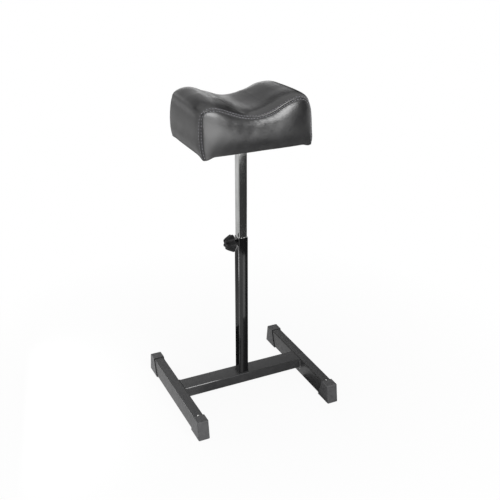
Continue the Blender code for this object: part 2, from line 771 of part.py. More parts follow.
def cover_sheet(name, points, slide_axis):
    """A sewn sheet: a grid moved to the computed points, with the leather's thickness inwards."""
    along, across = points.shape[0] - 1, points.shape[1] - 1
    shape = bmesh.new()
    bmesh.ops.create_grid(shape, x_segments=along, y_segments=across, size=1)
    places = np.array([vertex.co[:2] for vertex in shape.verts])
    row = np.rint((places[:, 0] + 1) / 2 * along).astype(int)
    column = np.rint((places[:, 1] + 1) / 2 * across).astype(int)
    put_points(shape, (row, column), points)
    shape.normal_update()
    inside = Vector((0, 0, WAIST_HEIGHT))
    outward = [face.normal.dot(face.calc_center_median() - inside) * face.calc_area() for face in shape.faces]
    if sum(outward) < 0:
        bmesh.ops.reverse_faces(shape, faces=shape.faces)
    mesh = bpy.data.meshes.new(name)
    shape.to_mesh(mesh)
    shape.free()
    mesh.shade_smooth()
    sheet = add_piece(name, mesh, black_leather(name), (0, post_y, underside), None, slide_axis)
    wall = sheet.modifiers.new("leather", "SOLIDIFY")
    wall.thickness = LEATHER
    wall.offset = -1
    return sheet


def make_cover(slide_axis):
    """The strip over the sides and the top, and the two end panels, each with its hems turned under."""
    bottom_x = CUSHION_LENGTH / 2
    bottom_y = CUSHION_DEPTH / 2
    insets = (HEM_DEPTH, HEM_TURN)
    columns = np.linspace(-1, 1, COLUMNS + 1)
    levels = np.append(-1, foam_level(np.linspace(-1, 1, LEVELS + 1)))
    seam_b = 1 - (LEATHER + SEAT_GAP) / bottom_y
    rows = eased(np.linspace(-1, 1, ROWS + 1)) * seam_b

    def side_hem(side, inset):
        reach = bottom_y - inset - HEM_MITRE
        line = np.full_like(rows, side * (bottom_x - inset))
        return np.stack([line, rows / seam_b * reach, np.zeros_like(rows)], axis=-1)

    strip = [side_hem(-1, inset) for inset in insets]
    strip += [cushion_skin(np.full_like(rows, -1), rows, np.full_like(rows, c)) for c in levels]
    strip += [cushion_skin(np.full_like(rows, a), rows, np.ones_like(rows)) for a in columns[1:-1]]
    strip += [cushion_skin(np.ones_like(rows), rows, np.full_like(rows, c)) for c in levels[::-1]]
    strip += [side_hem(1, inset) for inset in reversed(insets)]
    cover_sheet("cover_strip", np.array(strip), slide_axis)

    for side, name in ((-1, "cover_front_panel"), (1, "cover_rear_panel")):
        panel = []
        for inset in insets:
            reach = bottom_x - inset - HEM_MITRE
            line = np.full_like(columns, side * (bottom_y - inset))
            panel.append(np.stack([columns * reach, line, np.zeros_like(columns)], axis=-1))
        ends = np.full_like(columns, side)
        panel += [cushion_skin(columns, ends, np.full_like(columns, c)) for c in levels]
        cover_sheet(name, np.array(panel), slide_axis)


def make_board(slide_axis):
    """The plywood board, counterbored for the tee nuts, and the dust cover under it."""
    name = "cushion_board"
    board_level = level_of(board_top - underside)
    half_x = float(half_length(board_level, 1.0)) - LEATHER - BOARD_EASE
    half_y = half_depth(board_level) - LEATHER - BOARD_EASE
    outlines = [rounded_rectangle(2 * half_x, 2 * half_y, BOARD_CORNER)]
    outlines += [circle(TEE_BARREL_RADIUS + HOLE_EASE, SMALL_STEPS, middle) for middle in bolt_places]
    mesh = section_mesh(outlines, BOARD_THICKNESS)
    wood = finish(name + "_wood", (0.62, 0.45, 0.27), 0.7, 0.0)
    place = (0, post_y, board_bottom + BOARD_THICKNESS / 2)
    board = add_piece(name, mesh, wood, place, None, slide_axis)
    recess_depth = TEE_FLANGE + SEAT_GAP
    recess = section_mesh([circle(TEE_FLANGE_RADIUS + HOLE_EASE, SMALL_STEPS)], recess_depth + OVERRUN)
    recess_z = board_top - recess_depth + (recess_depth + OVERRUN) / 2
    places = [(across, post_y + along, recess_z) for across, along in bolt_places]
    cut(board, add_cutter("tee_recesses", repeated_mesh(recess, places)))

    name = "dust_cover"
    length = CUSHION_LENGTH - 2 * DUST_INSET
    depth = CUSHION_DEPTH - 2 * DUST_INSET
    outlines = [rounded_rectangle(length, depth, DUST_CORNER)]
    outlines += [circle(BOLT_RADIUS + HOLE_EASE, SMALL_STEPS, middle) for middle in bolt_places]
    mesh = section_mesh(outlines, DUST_CLOTH)
    cloth = finish(name + "_cloth", (0.02, 0.02, 0.02), 0.95, 0.0)
    add_piece(name, mesh, cloth, (0, post_y, dust_bottom + DUST_CLOTH / 2), None, slide_axis)


def main():
    clear_scene()
    make_legs()
    make_crossbar()
    make_caps()
    make_rivets()
    make_outer_post()
    pad_axis = bare_axis("knob_travel_axis", (-outer_face_x, post_y, clamp_z))
    knob_axis = bare_axis("knob_turn_axis", (-outer_face_x, post_y, clamp_z))
    make_clamp(pad_axis, knob_axis)
    slide_axis = bare_axis("height_slide_axis", (0, post_y, outer_top))
    make_inner_post(slide_axis)
    make_plate_fasteners(slide_axis)
    make_board(slide_axis)
    make_foam(slide_axis)
    make_cover(slide_axis)


main()
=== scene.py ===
"""Pedicure footrest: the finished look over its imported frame.

The sewn cushion cover, stitches, tubes, end boots, weld beads, clamp and underside trim are surfaces
worked out with numpy on the frame's own places. Lengths are in metres, +Z is up, -Y is the front.
"""

from functools import cache
from math import pi, radians

import bpy
import numpy as np
from bpy.props import FloatProperty, FloatVectorProperty, IntProperty, PointerProperty
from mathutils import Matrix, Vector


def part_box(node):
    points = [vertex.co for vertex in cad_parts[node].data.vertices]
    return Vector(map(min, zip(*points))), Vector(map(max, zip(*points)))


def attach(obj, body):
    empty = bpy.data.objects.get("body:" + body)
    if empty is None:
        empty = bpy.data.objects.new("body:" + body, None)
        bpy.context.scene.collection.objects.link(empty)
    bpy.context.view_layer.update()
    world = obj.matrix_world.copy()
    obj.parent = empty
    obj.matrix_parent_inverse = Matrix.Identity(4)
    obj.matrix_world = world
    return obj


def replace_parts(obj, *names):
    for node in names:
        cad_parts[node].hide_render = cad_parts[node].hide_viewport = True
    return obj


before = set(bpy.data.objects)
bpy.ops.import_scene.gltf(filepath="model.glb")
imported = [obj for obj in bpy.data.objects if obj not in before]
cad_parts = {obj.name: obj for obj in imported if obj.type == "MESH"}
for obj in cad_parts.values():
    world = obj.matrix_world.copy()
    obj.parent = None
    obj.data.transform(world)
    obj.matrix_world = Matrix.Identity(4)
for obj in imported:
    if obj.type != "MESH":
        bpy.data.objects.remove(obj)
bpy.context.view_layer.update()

bl_info = {
    "name": "Pedicure footrest",
    "version": (1, 0, 0),
    "blender": (4, 5, 0),
    "location": "3D View > Sidebar > Footrest",
    "description": "Builds the cushion, posts, clamp and floor base of a pedicure footrest",
    "category": "Object",
}

MM = 0.001


def node_box(node):
    """Lowest corner, highest corner and middle of a CAD node."""
    low, high = (np.array(corner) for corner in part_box(node))
    return low, high, (low + high) / 2


# Places that pieces share: the cushion's underside, the posts' middle along Y and the clamp's height
underside = node_box("cover_strip")[0][2] + 2.8 * MM
post_y = node_box("outer_post_tube")[2][1]
clamp_z = node_box("weld_nut")[2][2]

# Seam line of the end panels as (x, height over the underside) in millimetres, left to right
SEAM_KNOTS = [
    (-132.6, 3), (-135.2, 12), (-137.6, 32), (-138, 46), (-137, 62), (-135, 78), (-131, 90), (-121, 98),
    (-102, 100), (-83, 95), (-60, 86), (-35, 77.5), (-11, 73.5), (14, 75), (39, 81), (65, 93.5), (91, 102.3),
    (109, 102.6), (121.6, 96.3), (129.8, 85.8), (133, 72.3), (134.2, 50), (135, 25), (135.2, 13), (132.8, 3),
]
LEFT_SHOULDER, RIGHT_SHOULDER = 6, 18

# At each x, in millimetres: how far the top stands proud of its seams, how far from the front and the
# rear seam its roll reaches, and how much higher the rear seam runs than the front one
CROWN_KNOTS = [
    (-134, 13), (-100, 17), (-60, 17), (-25, 12), (0, 12), (40, 14), (68, 13),
    (90, 11.5), (110, 11.5), (130, 11),
]
FRONT_ROLL_KNOTS = [
    (-134, 45), (-106, 66), (-70, 74), (-53, 70), (-32, 52), (-21, 38), (-8, 24), (20, 21), (45, 21),
    (58, 22), (80, 29), (108, 20), (134, 10),
]
REAR_ROLL_KNOTS = [(-134, 20), (-60, 16), (0, 14), (35, 18), (60, 32), (90, 40), (134, 34)]
REAR_KNOTS = [
    (-134, 3), (-105, 2.5), (-55, 2), (-25, 5), (40, 4), (75, 4), (100, 1.5), (120, -1.5), (134, -2),
]

# Crease of the leather across the hollow, as (y, x) in millimetres, front to rear
CREASE_KNOTS = [(-76, -26), (-53, -36), (-33, -47), (-1, -66), (40, -70), (85, -70)]


def setting(name, description, default, **kind):
    """A number or a vector of a look, with its unit or subtype."""
    make = FloatVectorProperty if isinstance(default, tuple) else FloatProperty
    return make(name=name, description=description, default=default, **kind)


class CushionLook(bpy.types.PropertyGroup):
    leather: setting("Leather", "Colour of the cover", (0.006, 0.006, 0.0065), subtype="COLOR")
    thread: setting("Thread", "Colour of the stitches", (0.42, 0.41, 0.47), subtype="COLOR")
    half_depth: setting("Half depth", "From the middle to a seam, low down", 0.0955, unit="LENGTH")
    lean: setting("Lean", "How far the seams draw in for each metre of height", 0.08)
    crown: setting("Crown", "Share of the top's full rise over its seams", 1.0)
    side_swell: setting("Side swell", "Swell of the two sides", 0.004, unit="LENGTH")
    panel_swell: setting("Panel swell", "Swell of the end panels", 0.0133, unit="LENGTH")
    edge_roll: setting("Edge roll", "Quick rise of a panel beside its seams", 0.0024, unit="LENGTH")
    pucker: setting("Pucker", "Depth of the small gathers at a seam", 0.00012, unit="LENGTH")
    ear: setting("Ear", "How far the lower corners hang", 0.005, unit="LENGTH")
    stitch_pitch: setting("Stitch pitch", "From stitch to stitch", 0.007, unit="LENGTH")
    stitch_inset: setting("Stitch inset", "From the seam to a row", 0.004, unit="LENGTH")


class MetalLook(bpy.types.PropertyGroup):
    satin: setting("Satin paint", "Colour of the base", (0.03, 0.03, 0.031), subtype="COLOR")
    gloss: setting("Gloss paint", "Colour of the outer post", (0.004, 0.004, 0.0044), subtype="COLOR")
    chrome: setting("Chrome", "Colour of the inner post", (0.86, 0.87, 0.86), subtype="COLOR")
    plastic: setting("Plastic", "Colour of the boots", (0.062, 0.062, 0.064), subtype="COLOR")
    face_crown: setting("Face crown", "Rise of a post's faces at their middle", 0.0002, unit="LENGTH")
    bead: setting("Bead", "Leg length of a weld bead", 0.0026, unit="LENGTH")
    boot_round: setting("Boot rounding", "Radius round a boot's end", 0.003, unit="LENGTH")


class KnobLook(bpy.types.PropertyGroup):
    lobes: IntProperty(name="Lobes", description="Lobes of the star", min=3, default=5)
    radius: setting("Radius", "To the lobes' tips", 0.0226, unit="LENGTH")
    scallop: setting("Scallop", "Depth between lobes at the back", 0.0032, unit="LENGTH")
    depth: setting("Depth", "Front face to back face", 0.0208, unit="LENGTH")
    turn: setting("Turn", "Turn of the star", 0.9645, subtype="ANGLE")


class StageLook(bpy.types.PropertyGroup):
    camera_place: setting("Camera", "Place of the camera", (-0.7358, -1.6119, 1.1999), subtype="TRANSLATION")
    camera_bearing: setting("Bearing", "Turn of the view from +Y", radians(25.32), subtype="ANGLE")
    camera_dip: setting("Dip", "How far the view looks down", radians(24.5), subtype="ANGLE")
    lens: setting("Lens", "Focal length in millimetres", 57.0)
    key: setting("Key", "Power of the soft lamp above the front", 25.0, unit="POWER")
    front: setting("Front", "Power of the wide lamp in front", 22.0, unit="POWER")
    rear: setting("Rear", "Power of the soft lamp behind", 2.1, unit="POWER")
    low: setting("Low", "Power of the low lamp beside the left leg", 1.4, unit="POWER")
    wall: setting("Wall", "Power of the dim wall behind", 5.8, unit="POWER")
    side: setting("Side", "Power of the soft lamp at the left", 3.5, unit="POWER")
    room: setting("Room", "Strength of the room's light", 0.14)


def cushion():
    return bpy.context.scene.footrest_cushion


def metal():
    return bpy.context.scene.footrest_metal


# Numbers and meshes from whole arrays


def unit(vectors):
    """Vectors of length 1 in the same directions."""
    return vectors / np.maximum(np.linalg.norm(vectors, axis=-1, keepdims=True), 1e-12)


def travelled(points, axis=0):
    """Length travelled from the first point along one axis of an array of points."""
    step = np.linalg.norm(np.diff(points, axis=axis), axis=-1)
    start = np.zeros_like(np.take(step, [0], axis=axis))
    return np.concatenate([start, np.cumsum(step, axis=axis)], axis=axis)


def read_along(rows, run, at):
    """Rows that stand at the lengths in run, read at other lengths on the straight lines between them."""
    return np.stack([np.interp(at, run, column) for column in rows.T], axis=-1)


def ease(value, low, high):
    """0 below low, 1 above high and a smooth S between."""
    share = np.clip((value - low) / (high - low), 0, 1)
    return share * share * (3 - 2 * share)


def bell(distance, width, power=2):
    """1 at no distance, fading away from it: exp(-(distance / width)^power)."""
    return np.exp(-((distance / width) ** power))


def wave_field(first, second, shortest, longest, count, seed):
    """A smooth uneven field: the mean of plane cosine waves of mixed lengths, directions and phases."""
    chance = np.random.default_rng(seed)
    lengths = shortest * (longest / shortest) ** chance.random(count)
    heading, phase = chance.random((2, count)) * 2 * pi
    travel = np.multiply.outer(first, np.cos(heading)) + np.multiply.outer(second, np.sin(heading))
    return np.cos(2 * pi * travel / lengths + phase).sum(-1) / np.sqrt(count)


def wrapped_quads(rows, columns, wrap_rows=False, wrap_columns=False):
    """Corner numbers of the cells of a grid, whose edges join up where it wraps."""
    row = np.arange(rows if wrap_rows else rows - 1)[:, None]
    column = np.arange(columns if wrap_columns else columns - 1)[None, :]
    next_row, next_column = (row + 1) % rows, (column + 1) % columns
    corners = [row * columns + column, row * columns + next_column]
    corners += [next_row * columns + next_column, next_row * columns + column]
    return np.stack(np.broadcast_arrays(*corners), axis=-1).reshape(-1, 4)


def add_object(name, data):
    thing = bpy.data.objects.new(name, data)
    bpy.context.scene.collection.objects.link(thing)
    return thing


def add_piece(name, body, points, faces, material, slot, crease=None):
    """A closed piece from its points and faces, sharp where faces meet at more than crease degrees.

    The faces are turned so that the piece holds a positive volume: the sum, over triangle fans of the
    faces, of the triple product of their corners.
    """
    points = np.asarray(points, float).reshape(-1, 3)
    volume = sum(
        np.sum(points[group[:, 0]] * np.cross(points[group[:, corner]], points[group[:, corner + 1]]))
        for group in faces
        for corner in range(1, group.shape[1] - 1)
    )
    groups = [group if volume > 0 else group[:, ::-1] for group in faces]
    mesh = bpy.data.meshes.new(name)
    mesh.from_pydata(points.tolist(), [], [face for group in groups for face in group.tolist()])
    mesh.update()
    mesh.shade_smooth()
    if crease is not None:
        mesh.set_sharp_from_angle(angle=radians(crease))
    mesh.materials.append(material)
    piece = add_object(name, mesh)
    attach(piece, body)
    return piece


def ring_loft(rings, capped=True):
    """Points and faces of a skin over a stack of closed rings, whose ends are fans or join up."""
    count, around = rings.shape[:2]
    quads = wrapped_quads(count, around, wrap_rows=not capped, wrap_columns=True)
    if not capped:
        return rings.reshape(-1, 3), [quads]
    points = np.concatenate([rings.reshape(-1, 3), rings[:1].mean(1), rings[-1:].mean(1)])
    step = np.arange(around)
    after = (step + 1) % around
    hub, last = np.full(around, count * around), (count - 1) * around
    fans = [np.stack([after, step, hub], axis=-1), np.stack([last + step, last + after, hub + 1], axis=-1)]
    return points, [quads, np.concatenate(fans)]


def loft_over(node, ending, body, rings, material, slot, crease=None, capped=True):
    """A piece lofted from rings that takes the place of a CAD node."""
    points, faces = ring_loft(rings, capped)
    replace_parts(add_piece(node + ending, body, points, faces, material, slot, crease), node)


def sheet_shell(outer, inward, thickness):
    """A sheet with a wall: its outer grid, the same grid moved inward, and a rim between their edges."""
    rows, columns = outer.shape[:2]
    inner = outer + inward * thickness
    front = wrapped_quads(rows, columns)
    back = front[:, ::-1] + rows * columns
    edge = np.concatenate([
        np.arange(columns),
        np.arange(1, rows) * columns + columns - 1,
        (rows - 1) * columns + np.arange(columns - 2, -1, -1),
        np.arange(rows - 2, 0, -1) * columns,
    ])
    after = np.roll(edge, -1)
    rim = np.stack([after, edge, edge + rows * columns, after + rows * columns], axis=-1)
    return np.concatenate([outer.reshape(-1, 3), inner.reshape(-1, 3)]), [np.concatenate([front, back, rim])]


def joined(parts):
    """Several sets of points and faces as one."""
    points, faces, first = [], {}, 0
    for part_points, part_faces in parts:
        points.append(part_points)
        for group in part_faces:
            faces.setdefault(group.shape[1], []).append(group + first)
        first += len(part_points)
    return np.concatenate(points), [np.concatenate(groups) for groups in faces.values()]


def rounded_outline(width, height, radius, steps=8):
    """Points of a rectangle with quarter-circle corners, anticlockwise."""
    quarter = np.arange(4)[:, None]
    side_x = np.array([1, -1, -1, 1])[:, None]
    side_y = np.array([1, 1, -1, -1])[:, None]
    turn = np.linspace(0, pi / 2, steps + 1)[None, :] + quarter * pi / 2
    across = side_x * (width / 2 - radius) + radius * np.cos(turn)
    up = side_y * (height / 2 - radius) + radius * np.sin(turn)
    return np.stack([across.ravel(), up.ravel()], axis=-1)


# Materials from nodes


def set_inputs(tree, node, inputs):
    """Give a node's inputs plain values or other nodes' outputs."""
    for key, value in dict(inputs).items():
        if isinstance(value, bpy.types.NodeSocket):
            tree.links.new(value, node.inputs[key])
        else:
            node.inputs[key].default_value = value


def add_node(tree, kind, inputs=(), **settings):
    """A shader node with its settings and inputs."""
    node = tree.nodes.new("ShaderNode" + kind)
    for name, value in settings.items():
        setattr(node, name, value)
    set_inputs(tree, node, inputs)
    return node


def add_material(name, inputs):
    """A material, its node tree and its Principled shader, whose inputs are given."""
    material = bpy.data.materials.new(name)
    material.use_nodes = True
    tree = material.node_tree
    shader = tree.nodes["Principled BSDF"]
    set_inputs(tree, shader, inputs)
    return material, tree, shader


def worked_out(tree, operation, first, second):
    return add_node(tree, "Math", {0: first, 1: second}, operation=operation).outputs[0]


class Recipe:
    """A Principled material whose colour, roughness and bump come from textures on Object coordinates."""

    def __init__(self, name, metallic=0.0, specular=0.5, coat=0.0, coat_roughness=0.1):
        inputs = {"Metallic": metallic, "Specular IOR Level": specular}
        inputs.update({"Coat Weight": coat, "Coat Roughness": coat_roughness})
        self.material, self.tree, self.shader = add_material(name, inputs)
        self.place = add_node(self.tree, "TexCoord").outputs["Object"]
        self.last_bump = self.last_mix = None

    def stretched(self, scale):
        return add_node(self.tree, "Mapping", {"Vector": self.place, "Scale": scale}).outputs["Vector"]

    def noise(self, scale, detail=3.0, distortion=0.0, place=None):
        inputs = {"Vector": place or self.place, "Scale": scale, "Detail": detail, "Distortion": distortion}
        return add_node(self.tree, "TexNoise", inputs).outputs["Fac"]

    def cells(self, scale):
        return add_node(self.tree, "TexVoronoi", {"Vector": self.place, "Scale": scale}).outputs["Distance"]

    def spread(self, value, from_low, from_high, to_low=0, to_high=1):
        """A value mapped from one range onto another, held at the ends."""
        inputs = enumerate((value, from_low, from_high, to_low, to_high))
        return add_node(self.tree, "MapRange", inputs).outputs[0]

    def product(self, first, second):
        return worked_out(self.tree, "MULTIPLY", first, second)

    def within(self, axis, low, high, fade):
        """1 where a coordinate (0, 1 or 2) lies between two places, fading to 0 outside them."""
        value = add_node(self.tree, "SeparateXYZ", {0: self.place}).outputs[axis]
        return self.product(self.spread(value, low - fade, low), self.spread(value, high, high + fade, 1, 0))

    def colour(self, value, dark, pale):
        """Blend from dark, or from the colour so far where there is one, to pale."""
        inputs = {0: value, 6: self.last_mix or (*dark, 1), 7: (*pale, 1)}
        self.last_mix = add_node(self.tree, "Mix", inputs, data_type="RGBA").outputs[2]
        set_inputs(self.tree, self.shader, {"Base Color": self.last_mix})

    def tones(self, value, low, high, dark, pale):
        """The base colour, from dark where the value is low to pale where it is high."""
        self.colour(self.spread(value, low, high), dark, pale)

    def sheen(self, value, low, high, smooth, dull):
        """The roughness, from smooth where the value is low to dull where it is high."""
        set_inputs(self.tree, self.shader, {"Roughness": self.spread(value, low, high, smooth, dull)})

    def bump(self, height, distance, strength):
        inputs = {"Height": height, "Distance": distance, "Strength": strength}
        if self.last_bump is not None:
            inputs["Normal"] = self.last_bump
        self.last_bump = add_node(self.tree, "Bump", inputs).outputs["Normal"]
        set_inputs(self.tree, self.shader, {"Normal": self.last_bump})


def finish(**surface):
    """Turn a function that fills in a recipe into one that makes its material once and then shares it."""

    def maker(fill_in):
        @cache
        def material():
            recipe = Recipe(fill_in.__name__, **surface)
            fill_in(recipe)
            return recipe.material

        return material

    return maker


def shaded(colour, *factors):
    """The colour at several shares of its brightness."""
    return [tuple(min(channel * factor, 1.0) for channel in colour) for factor in factors]


@finish(specular=1.0)
def grained_leather(recipe):
    """Soft synthetic leather: fine pebbled cells, sparse pores and a handled, uneven sheen."""
    recipe.tones(recipe.noise(14, 3), 0.35, 0.65, *shaded(cushion().leather, 0.88, 1.14))
    recipe.sheen(recipe.noise(45, 4), 0.3, 0.7, 0.3, 0.36)
    recipe.bump(recipe.cells(780), 0.00012, 0.35)
    recipe.bump(recipe.noise(2400, 2), 0.00005, 0.3)


@finish(specular=0.4)
def sewing_thread(recipe):
    """Bonded thread: a tight twist in pale grey."""
    twist = recipe.noise(1800, 1)
    recipe.tones(twist, 0.3, 0.7, *shaded(cushion().thread, 0.75, 1.2))
    recipe.sheen(recipe.noise(300), 0.3, 0.7, 0.45, 0.6)
    recipe.bump(twist, 0.0001, 0.6)


# Painted highlights and painted dark reflections on the powder coat: along X, Y and Z from where to where
# and how soft, in millimetres, and how pale
PAINTED_HIGHLIGHT_AND_REFLECTION_LINES = (
    # Painted highlight: a pale line along the crossbar's near top edge, on its left part
    ((-150, -90, 25), (-22.2, -21.4, 0.3), (46, 47, 0.4), 0.42),
    # Painted highlight: a pale upright line on the weld bead where the crossbar's near face meets the right
    # leg
    ((164.6, 166.6, 0.4), (-25, -21, 0.5), (18, 42, 3), 0.75),
    # Painted dark reflection along the crossbar's near top edge
    ((20, 158, 8), (-23, -20.8, 0.4), (45.2, 47.5, 0.4), 0.001),
    # Painted dark reflection along the right leg's left top edge
    ((164.5, 167.2, 0.4), (-134, 134, 6), (45.2, 47.5, 0.4), 0.001),
)


@finish()
def satin_powder(recipe):
    """Powder coat: faint orange peel, a little dust, two pale lines of painted highlight and two edges
    darkened as painted reflections.
    """
    recipe.tones(recipe.noise(60, 5), 0.35, 0.75, *shaded(metal().satin, 0.9, 1.25))
    # The marks blend the colour towards painted highlights and painted dark reflections
    for *spans, pale in PAINTED_HIGHLIGHT_AND_REFLECTION_LINES:
        masks = [recipe.within(axis, *(np.array(span) * MM)) for axis, span in enumerate(spans)]
        recipe.colour(recipe.product(recipe.product(masks[0], masks[1]), masks[2]), None, (pale, pale, pale))
    recipe.sheen(recipe.noise(160, 3), 0.3, 0.7, 0.4, 0.5)
    recipe.bump(recipe.noise(1100, 2), 0.00006, 0.35)


@finish(coat=1.0, coat_roughness=0.05)
def gloss_enamel(recipe):
    """Stoved gloss paint: fine orange peel, duller streaks along the post, and pale patches round the mouth,
    where the paint is rubbed through to steel and glints are painted in.
    """
    streaks = recipe.noise(90, 3, place=recipe.stretched((1, 1, 0.08)))
    recipe.tones(streaks, 0.3, 0.7, *shaded(metal().gloss, 0.8, 1.5))
    # Pale patches round the mouth: steel where the paint is rubbed through, and painted glints
    mouth = node_box("outer_post_tube")[1][2]
    patchy_wear_and_glints = recipe.spread(recipe.noise(150, 2), 0.46, 0.54)
    bare_mouth_and_glints = recipe.product(recipe.within(2, mouth - 0.5 * MM, mouth + 1 * MM, 0.2 * MM), patchy_wear_and_glints)
    recipe.colour(bare_mouth_and_glints, None, (0.8, 0.8, 0.78))
    recipe.sheen(streaks, 0.35, 0.75, 0.07, 0.13)
    recipe.bump(recipe.noise(420, 2), 0.00002, 0.1)


@finish(specular=0.3)
def bead_enamel(recipe):
    """The same paint where it has sunk into a weld bead: dull, with soot in the ripples."""
    soot = recipe.noise(300, 3)
    recipe.tones(soot, 0.3, 0.7, *shaded(metal().gloss, 0.7, 2.2))
    recipe.sheen(soot, 0.3, 0.7, 0.38, 0.55)
    recipe.bump(recipe.noise(900, 3), 0.00006, 0.4)


@finish(metallic=1.0)
def chrome_plate(recipe):
    """Chrome on drawn tube: draw lines along the post and light finger smears."""
    smear = recipe.noise(35, 4)
    recipe.tones(smear, 0.35, 0.7, *shaded(metal().chrome, 1.0, 0.86))
    recipe.sheen(smear, 0.35, 0.75, 0.05, 0.13)
    recipe.bump(recipe.noise(900, 2, place=recipe.stretched((1, 1, 0.03))), 0.00003, 0.3)


@finish()
def moulded_plastic(recipe):
    """Spark-textured black moulding."""
    recipe.tones(recipe.noise(80, 4), 0.35, 0.7, *shaded(metal().plastic, 0.9, 1.2))
    recipe.sheen(recipe.noise(500, 2), 0.3, 0.7, 0.5, 0.62)
    recipe.bump(recipe.noise(2000, 2), 0.00008, 0.5)


@finish(specular=0.2)
def knob_plastic(recipe):
    """Smooth hard black moulding with a low gloss."""
    bloom = recipe.noise(120, 3)
    recipe.tones(bloom, 0.35, 0.7, (0.006, 0.006, 0.0065), (0.011, 0.011, 0.0115))
    recipe.sheen(bloom, 0.3, 0.7, 0.28, 0.4)
    recipe.bump(recipe.noise(1600, 2), 0.00004, 0.3)


@finish(metallic=1.0)
def zinc_plate(recipe):
    """Bright zinc: faint spangle and a scratched roughness."""
    recipe.tones(recipe.cells(700), 0.0, 0.7, (0.5, 0.5, 0.49), (0.68, 0.68, 0.66))
    recipe.sheen(recipe.noise(900, 3), 0.3, 0.7, 0.28, 0.42)
    recipe.bump(recipe.noise(1500, 2), 0.00003, 0.4)


@finish()
def pad_nylon(recipe):
    """Natural nylon: cloudy, with a matt turned face."""
    recipe.tones(recipe.noise(300), 0.3, 0.7, (0.66, 0.64, 0.58), (0.78, 0.76, 0.7))
    recipe.sheen(recipe.noise(700), 0.3, 0.7, 0.4, 0.55)
    recipe.bump(recipe.noise(1500), 0.00004, 0.3)


@finish(specular=0.2)
def felted_cloth(recipe):
    """Spun black lining cloth: crossed fibres and small dimples from its embossing."""
    fibres = recipe.noise(900, 5, 1.5, place=recipe.stretched((1, 0.25, 1)))
    across = recipe.noise(800, 5, 1.5, place=recipe.stretched((0.25, 1, 1)))
    weave = recipe.product(fibres, across)
    recipe.tones(weave, 0.1, 0.5, (0.008, 0.008, 0.009), (0.03, 0.03, 0.032))
    recipe.sheen(weave, 0.1, 0.5, 0.85, 1.0)
    recipe.bump(recipe.cells(420), 0.0002, 0.5)
    recipe.bump(weave, 0.0002, 0.6)


@finish(specular=0.3)
def raw_plywood(recipe):
    """Plies of alternate tone along the board's thickness, with a drawn-out grain."""
    grain = recipe.noise(60, 6, 0.4, place=recipe.stretched((0.12, 1, 6)))
    recipe.tones(grain, 0.3, 0.7, (0.42, 0.27, 0.14), (0.66, 0.48, 0.3))
    recipe.sheen(grain, 0.3, 0.7, 0.6, 0.8)
    recipe.bump(grain, 0.0002, 0.4)


# Cushion cover


def spline_through(knots):
    """The natural cubic spline through points, as a function of length, and the knots' lengths.

    Between two knots a point is a cubic of its distances to both. The bends at the knots solve the
    usual three-term system, with no bend at the two ends.
    """
    knots = np.asarray(knots, float)
    chord = travelled(knots)
    step = np.diff(chord)
    system = np.eye(len(knots))
    inner = np.arange(1, len(knots) - 1)
    system[inner, inner - 1] = step[:-1]
    system[inner, inner] = 2 * (step[:-1] + step[1:])
    system[inner, inner + 1] = step[1:]
    right = np.zeros_like(knots)
    right[1:-1] = 6 * np.diff(np.diff(knots, axis=0) / step[:, None], axis=0)
    bend = np.linalg.solve(system, right)

    def at(length):
        span = np.clip(np.searchsorted(chord, length, side="right") - 1, 0, len(step) - 1)
        reach = step[span][:, None]
        ahead, past = (chord[span + 1] - length)[:, None], (length - chord[span])[:, None]
        cubic = (bend[span] * ahead**3 + bend[span + 1] * past**3) / (6 * reach)
        line = (knots[span] / reach - bend[span] * reach / 6) * ahead
        return cubic + line + (knots[span + 1] / reach - bend[span + 1] * reach / 6) * past

    return at, chord


seam_at, seam_chord = spline_through(np.array(SEAM_KNOTS) * MM)
CUSHION_HALF = 134.5 * MM
TURN = 1.6 * MM
HEM = 25 * MM
LEATHER = 1.2 * MM
SIDE_ROLL = 22
STITCH_LENGTH = 3 * MM


def hem_insets():
    """How far in from the edge the turned-under rows lie, the hem's inner edge first, and their heights."""
    flat = np.linspace(HEM, TURN, 9)
    turn = np.linspace(0, pi / 2, 7)[1:-1]
    inset = np.concatenate([flat, TURN * (1 - np.sin(turn))])
    return inset, np.concatenate([np.zeros_like(flat), TURN * (1 - np.cos(turn))])


HEM_ROWS = len(hem_insets()[0])


def half_depth(height):
    """Half of the depth between the seams at a height. The seams draw in upwards."""
    return cushion().half_depth - cushion().lean * np.maximum(height, 0)


def strip_profile():
    """The strip's line in X and Z: hem, turn, left side, top, right side, turn and hem."""
    inset, height = hem_insets()
    line = seam_at(np.linspace(0, seam_chord[-1], 300))
    left = np.stack([line[0, 0] + inset, height], axis=-1)
    right = np.stack([line[-1, 0] - inset, height], axis=-1)[::-1]
    return np.concatenate([left, line, right])


def ears(x, y, height):
    """How far a lower corner hangs: most at the corner, and fading along both edges and upwards."""
    near_x = bell(CUSHION_HALF - np.abs(x), 21 * MM, 4)
    near_y = bell(cushion().half_depth - np.abs(y), 20 * MM)
    front = ease(-y, -20 * MM, 20 * MM)
    corner = (0.2 + front * (0.65 + 0.3 * ease(-x, -20 * MM, 20 * MM))) * near_x * near_y
    edge = 0.16 + 0.3 * bell(CUSHION_HALF + x, 12 * MM) * ease(-y, -80 * MM, -30 * MM)
    return cushion().ear * (corner + edge) * bell(np.maximum(height, 0), 16 * MM, 1)


def at_knots(knots, where):
    """A value read off straight lines between (x, value) knots in millimetres."""
    places, values = np.array(knots, float).T
    return np.interp(where, places * MM, values)


def rolled(distance, reach):
    """A rise from 0 at a seam to nearly 1: (1 + (reach / distance)^3)^(-1/3), even up to its reach."""
    return (1 + (reach / np.maximum(distance, 0.01 * MM)) ** 3) ** (-1 / 3)


def soft_step(distance):
    """A distance that is held at zero below zero, with a soft start."""
    return 0.8 * MM * np.logaddexp(0, distance / (0.8 * MM))


def rear_rise(x, y, height):
    """How much higher the top runs towards the rear, over the upper part only."""
    return at_knots(REAR_KNOTS, x) * MM * ease(y, -40 * MM, 85 * MM) * ease(height, 35 * MM, 72 * MM)


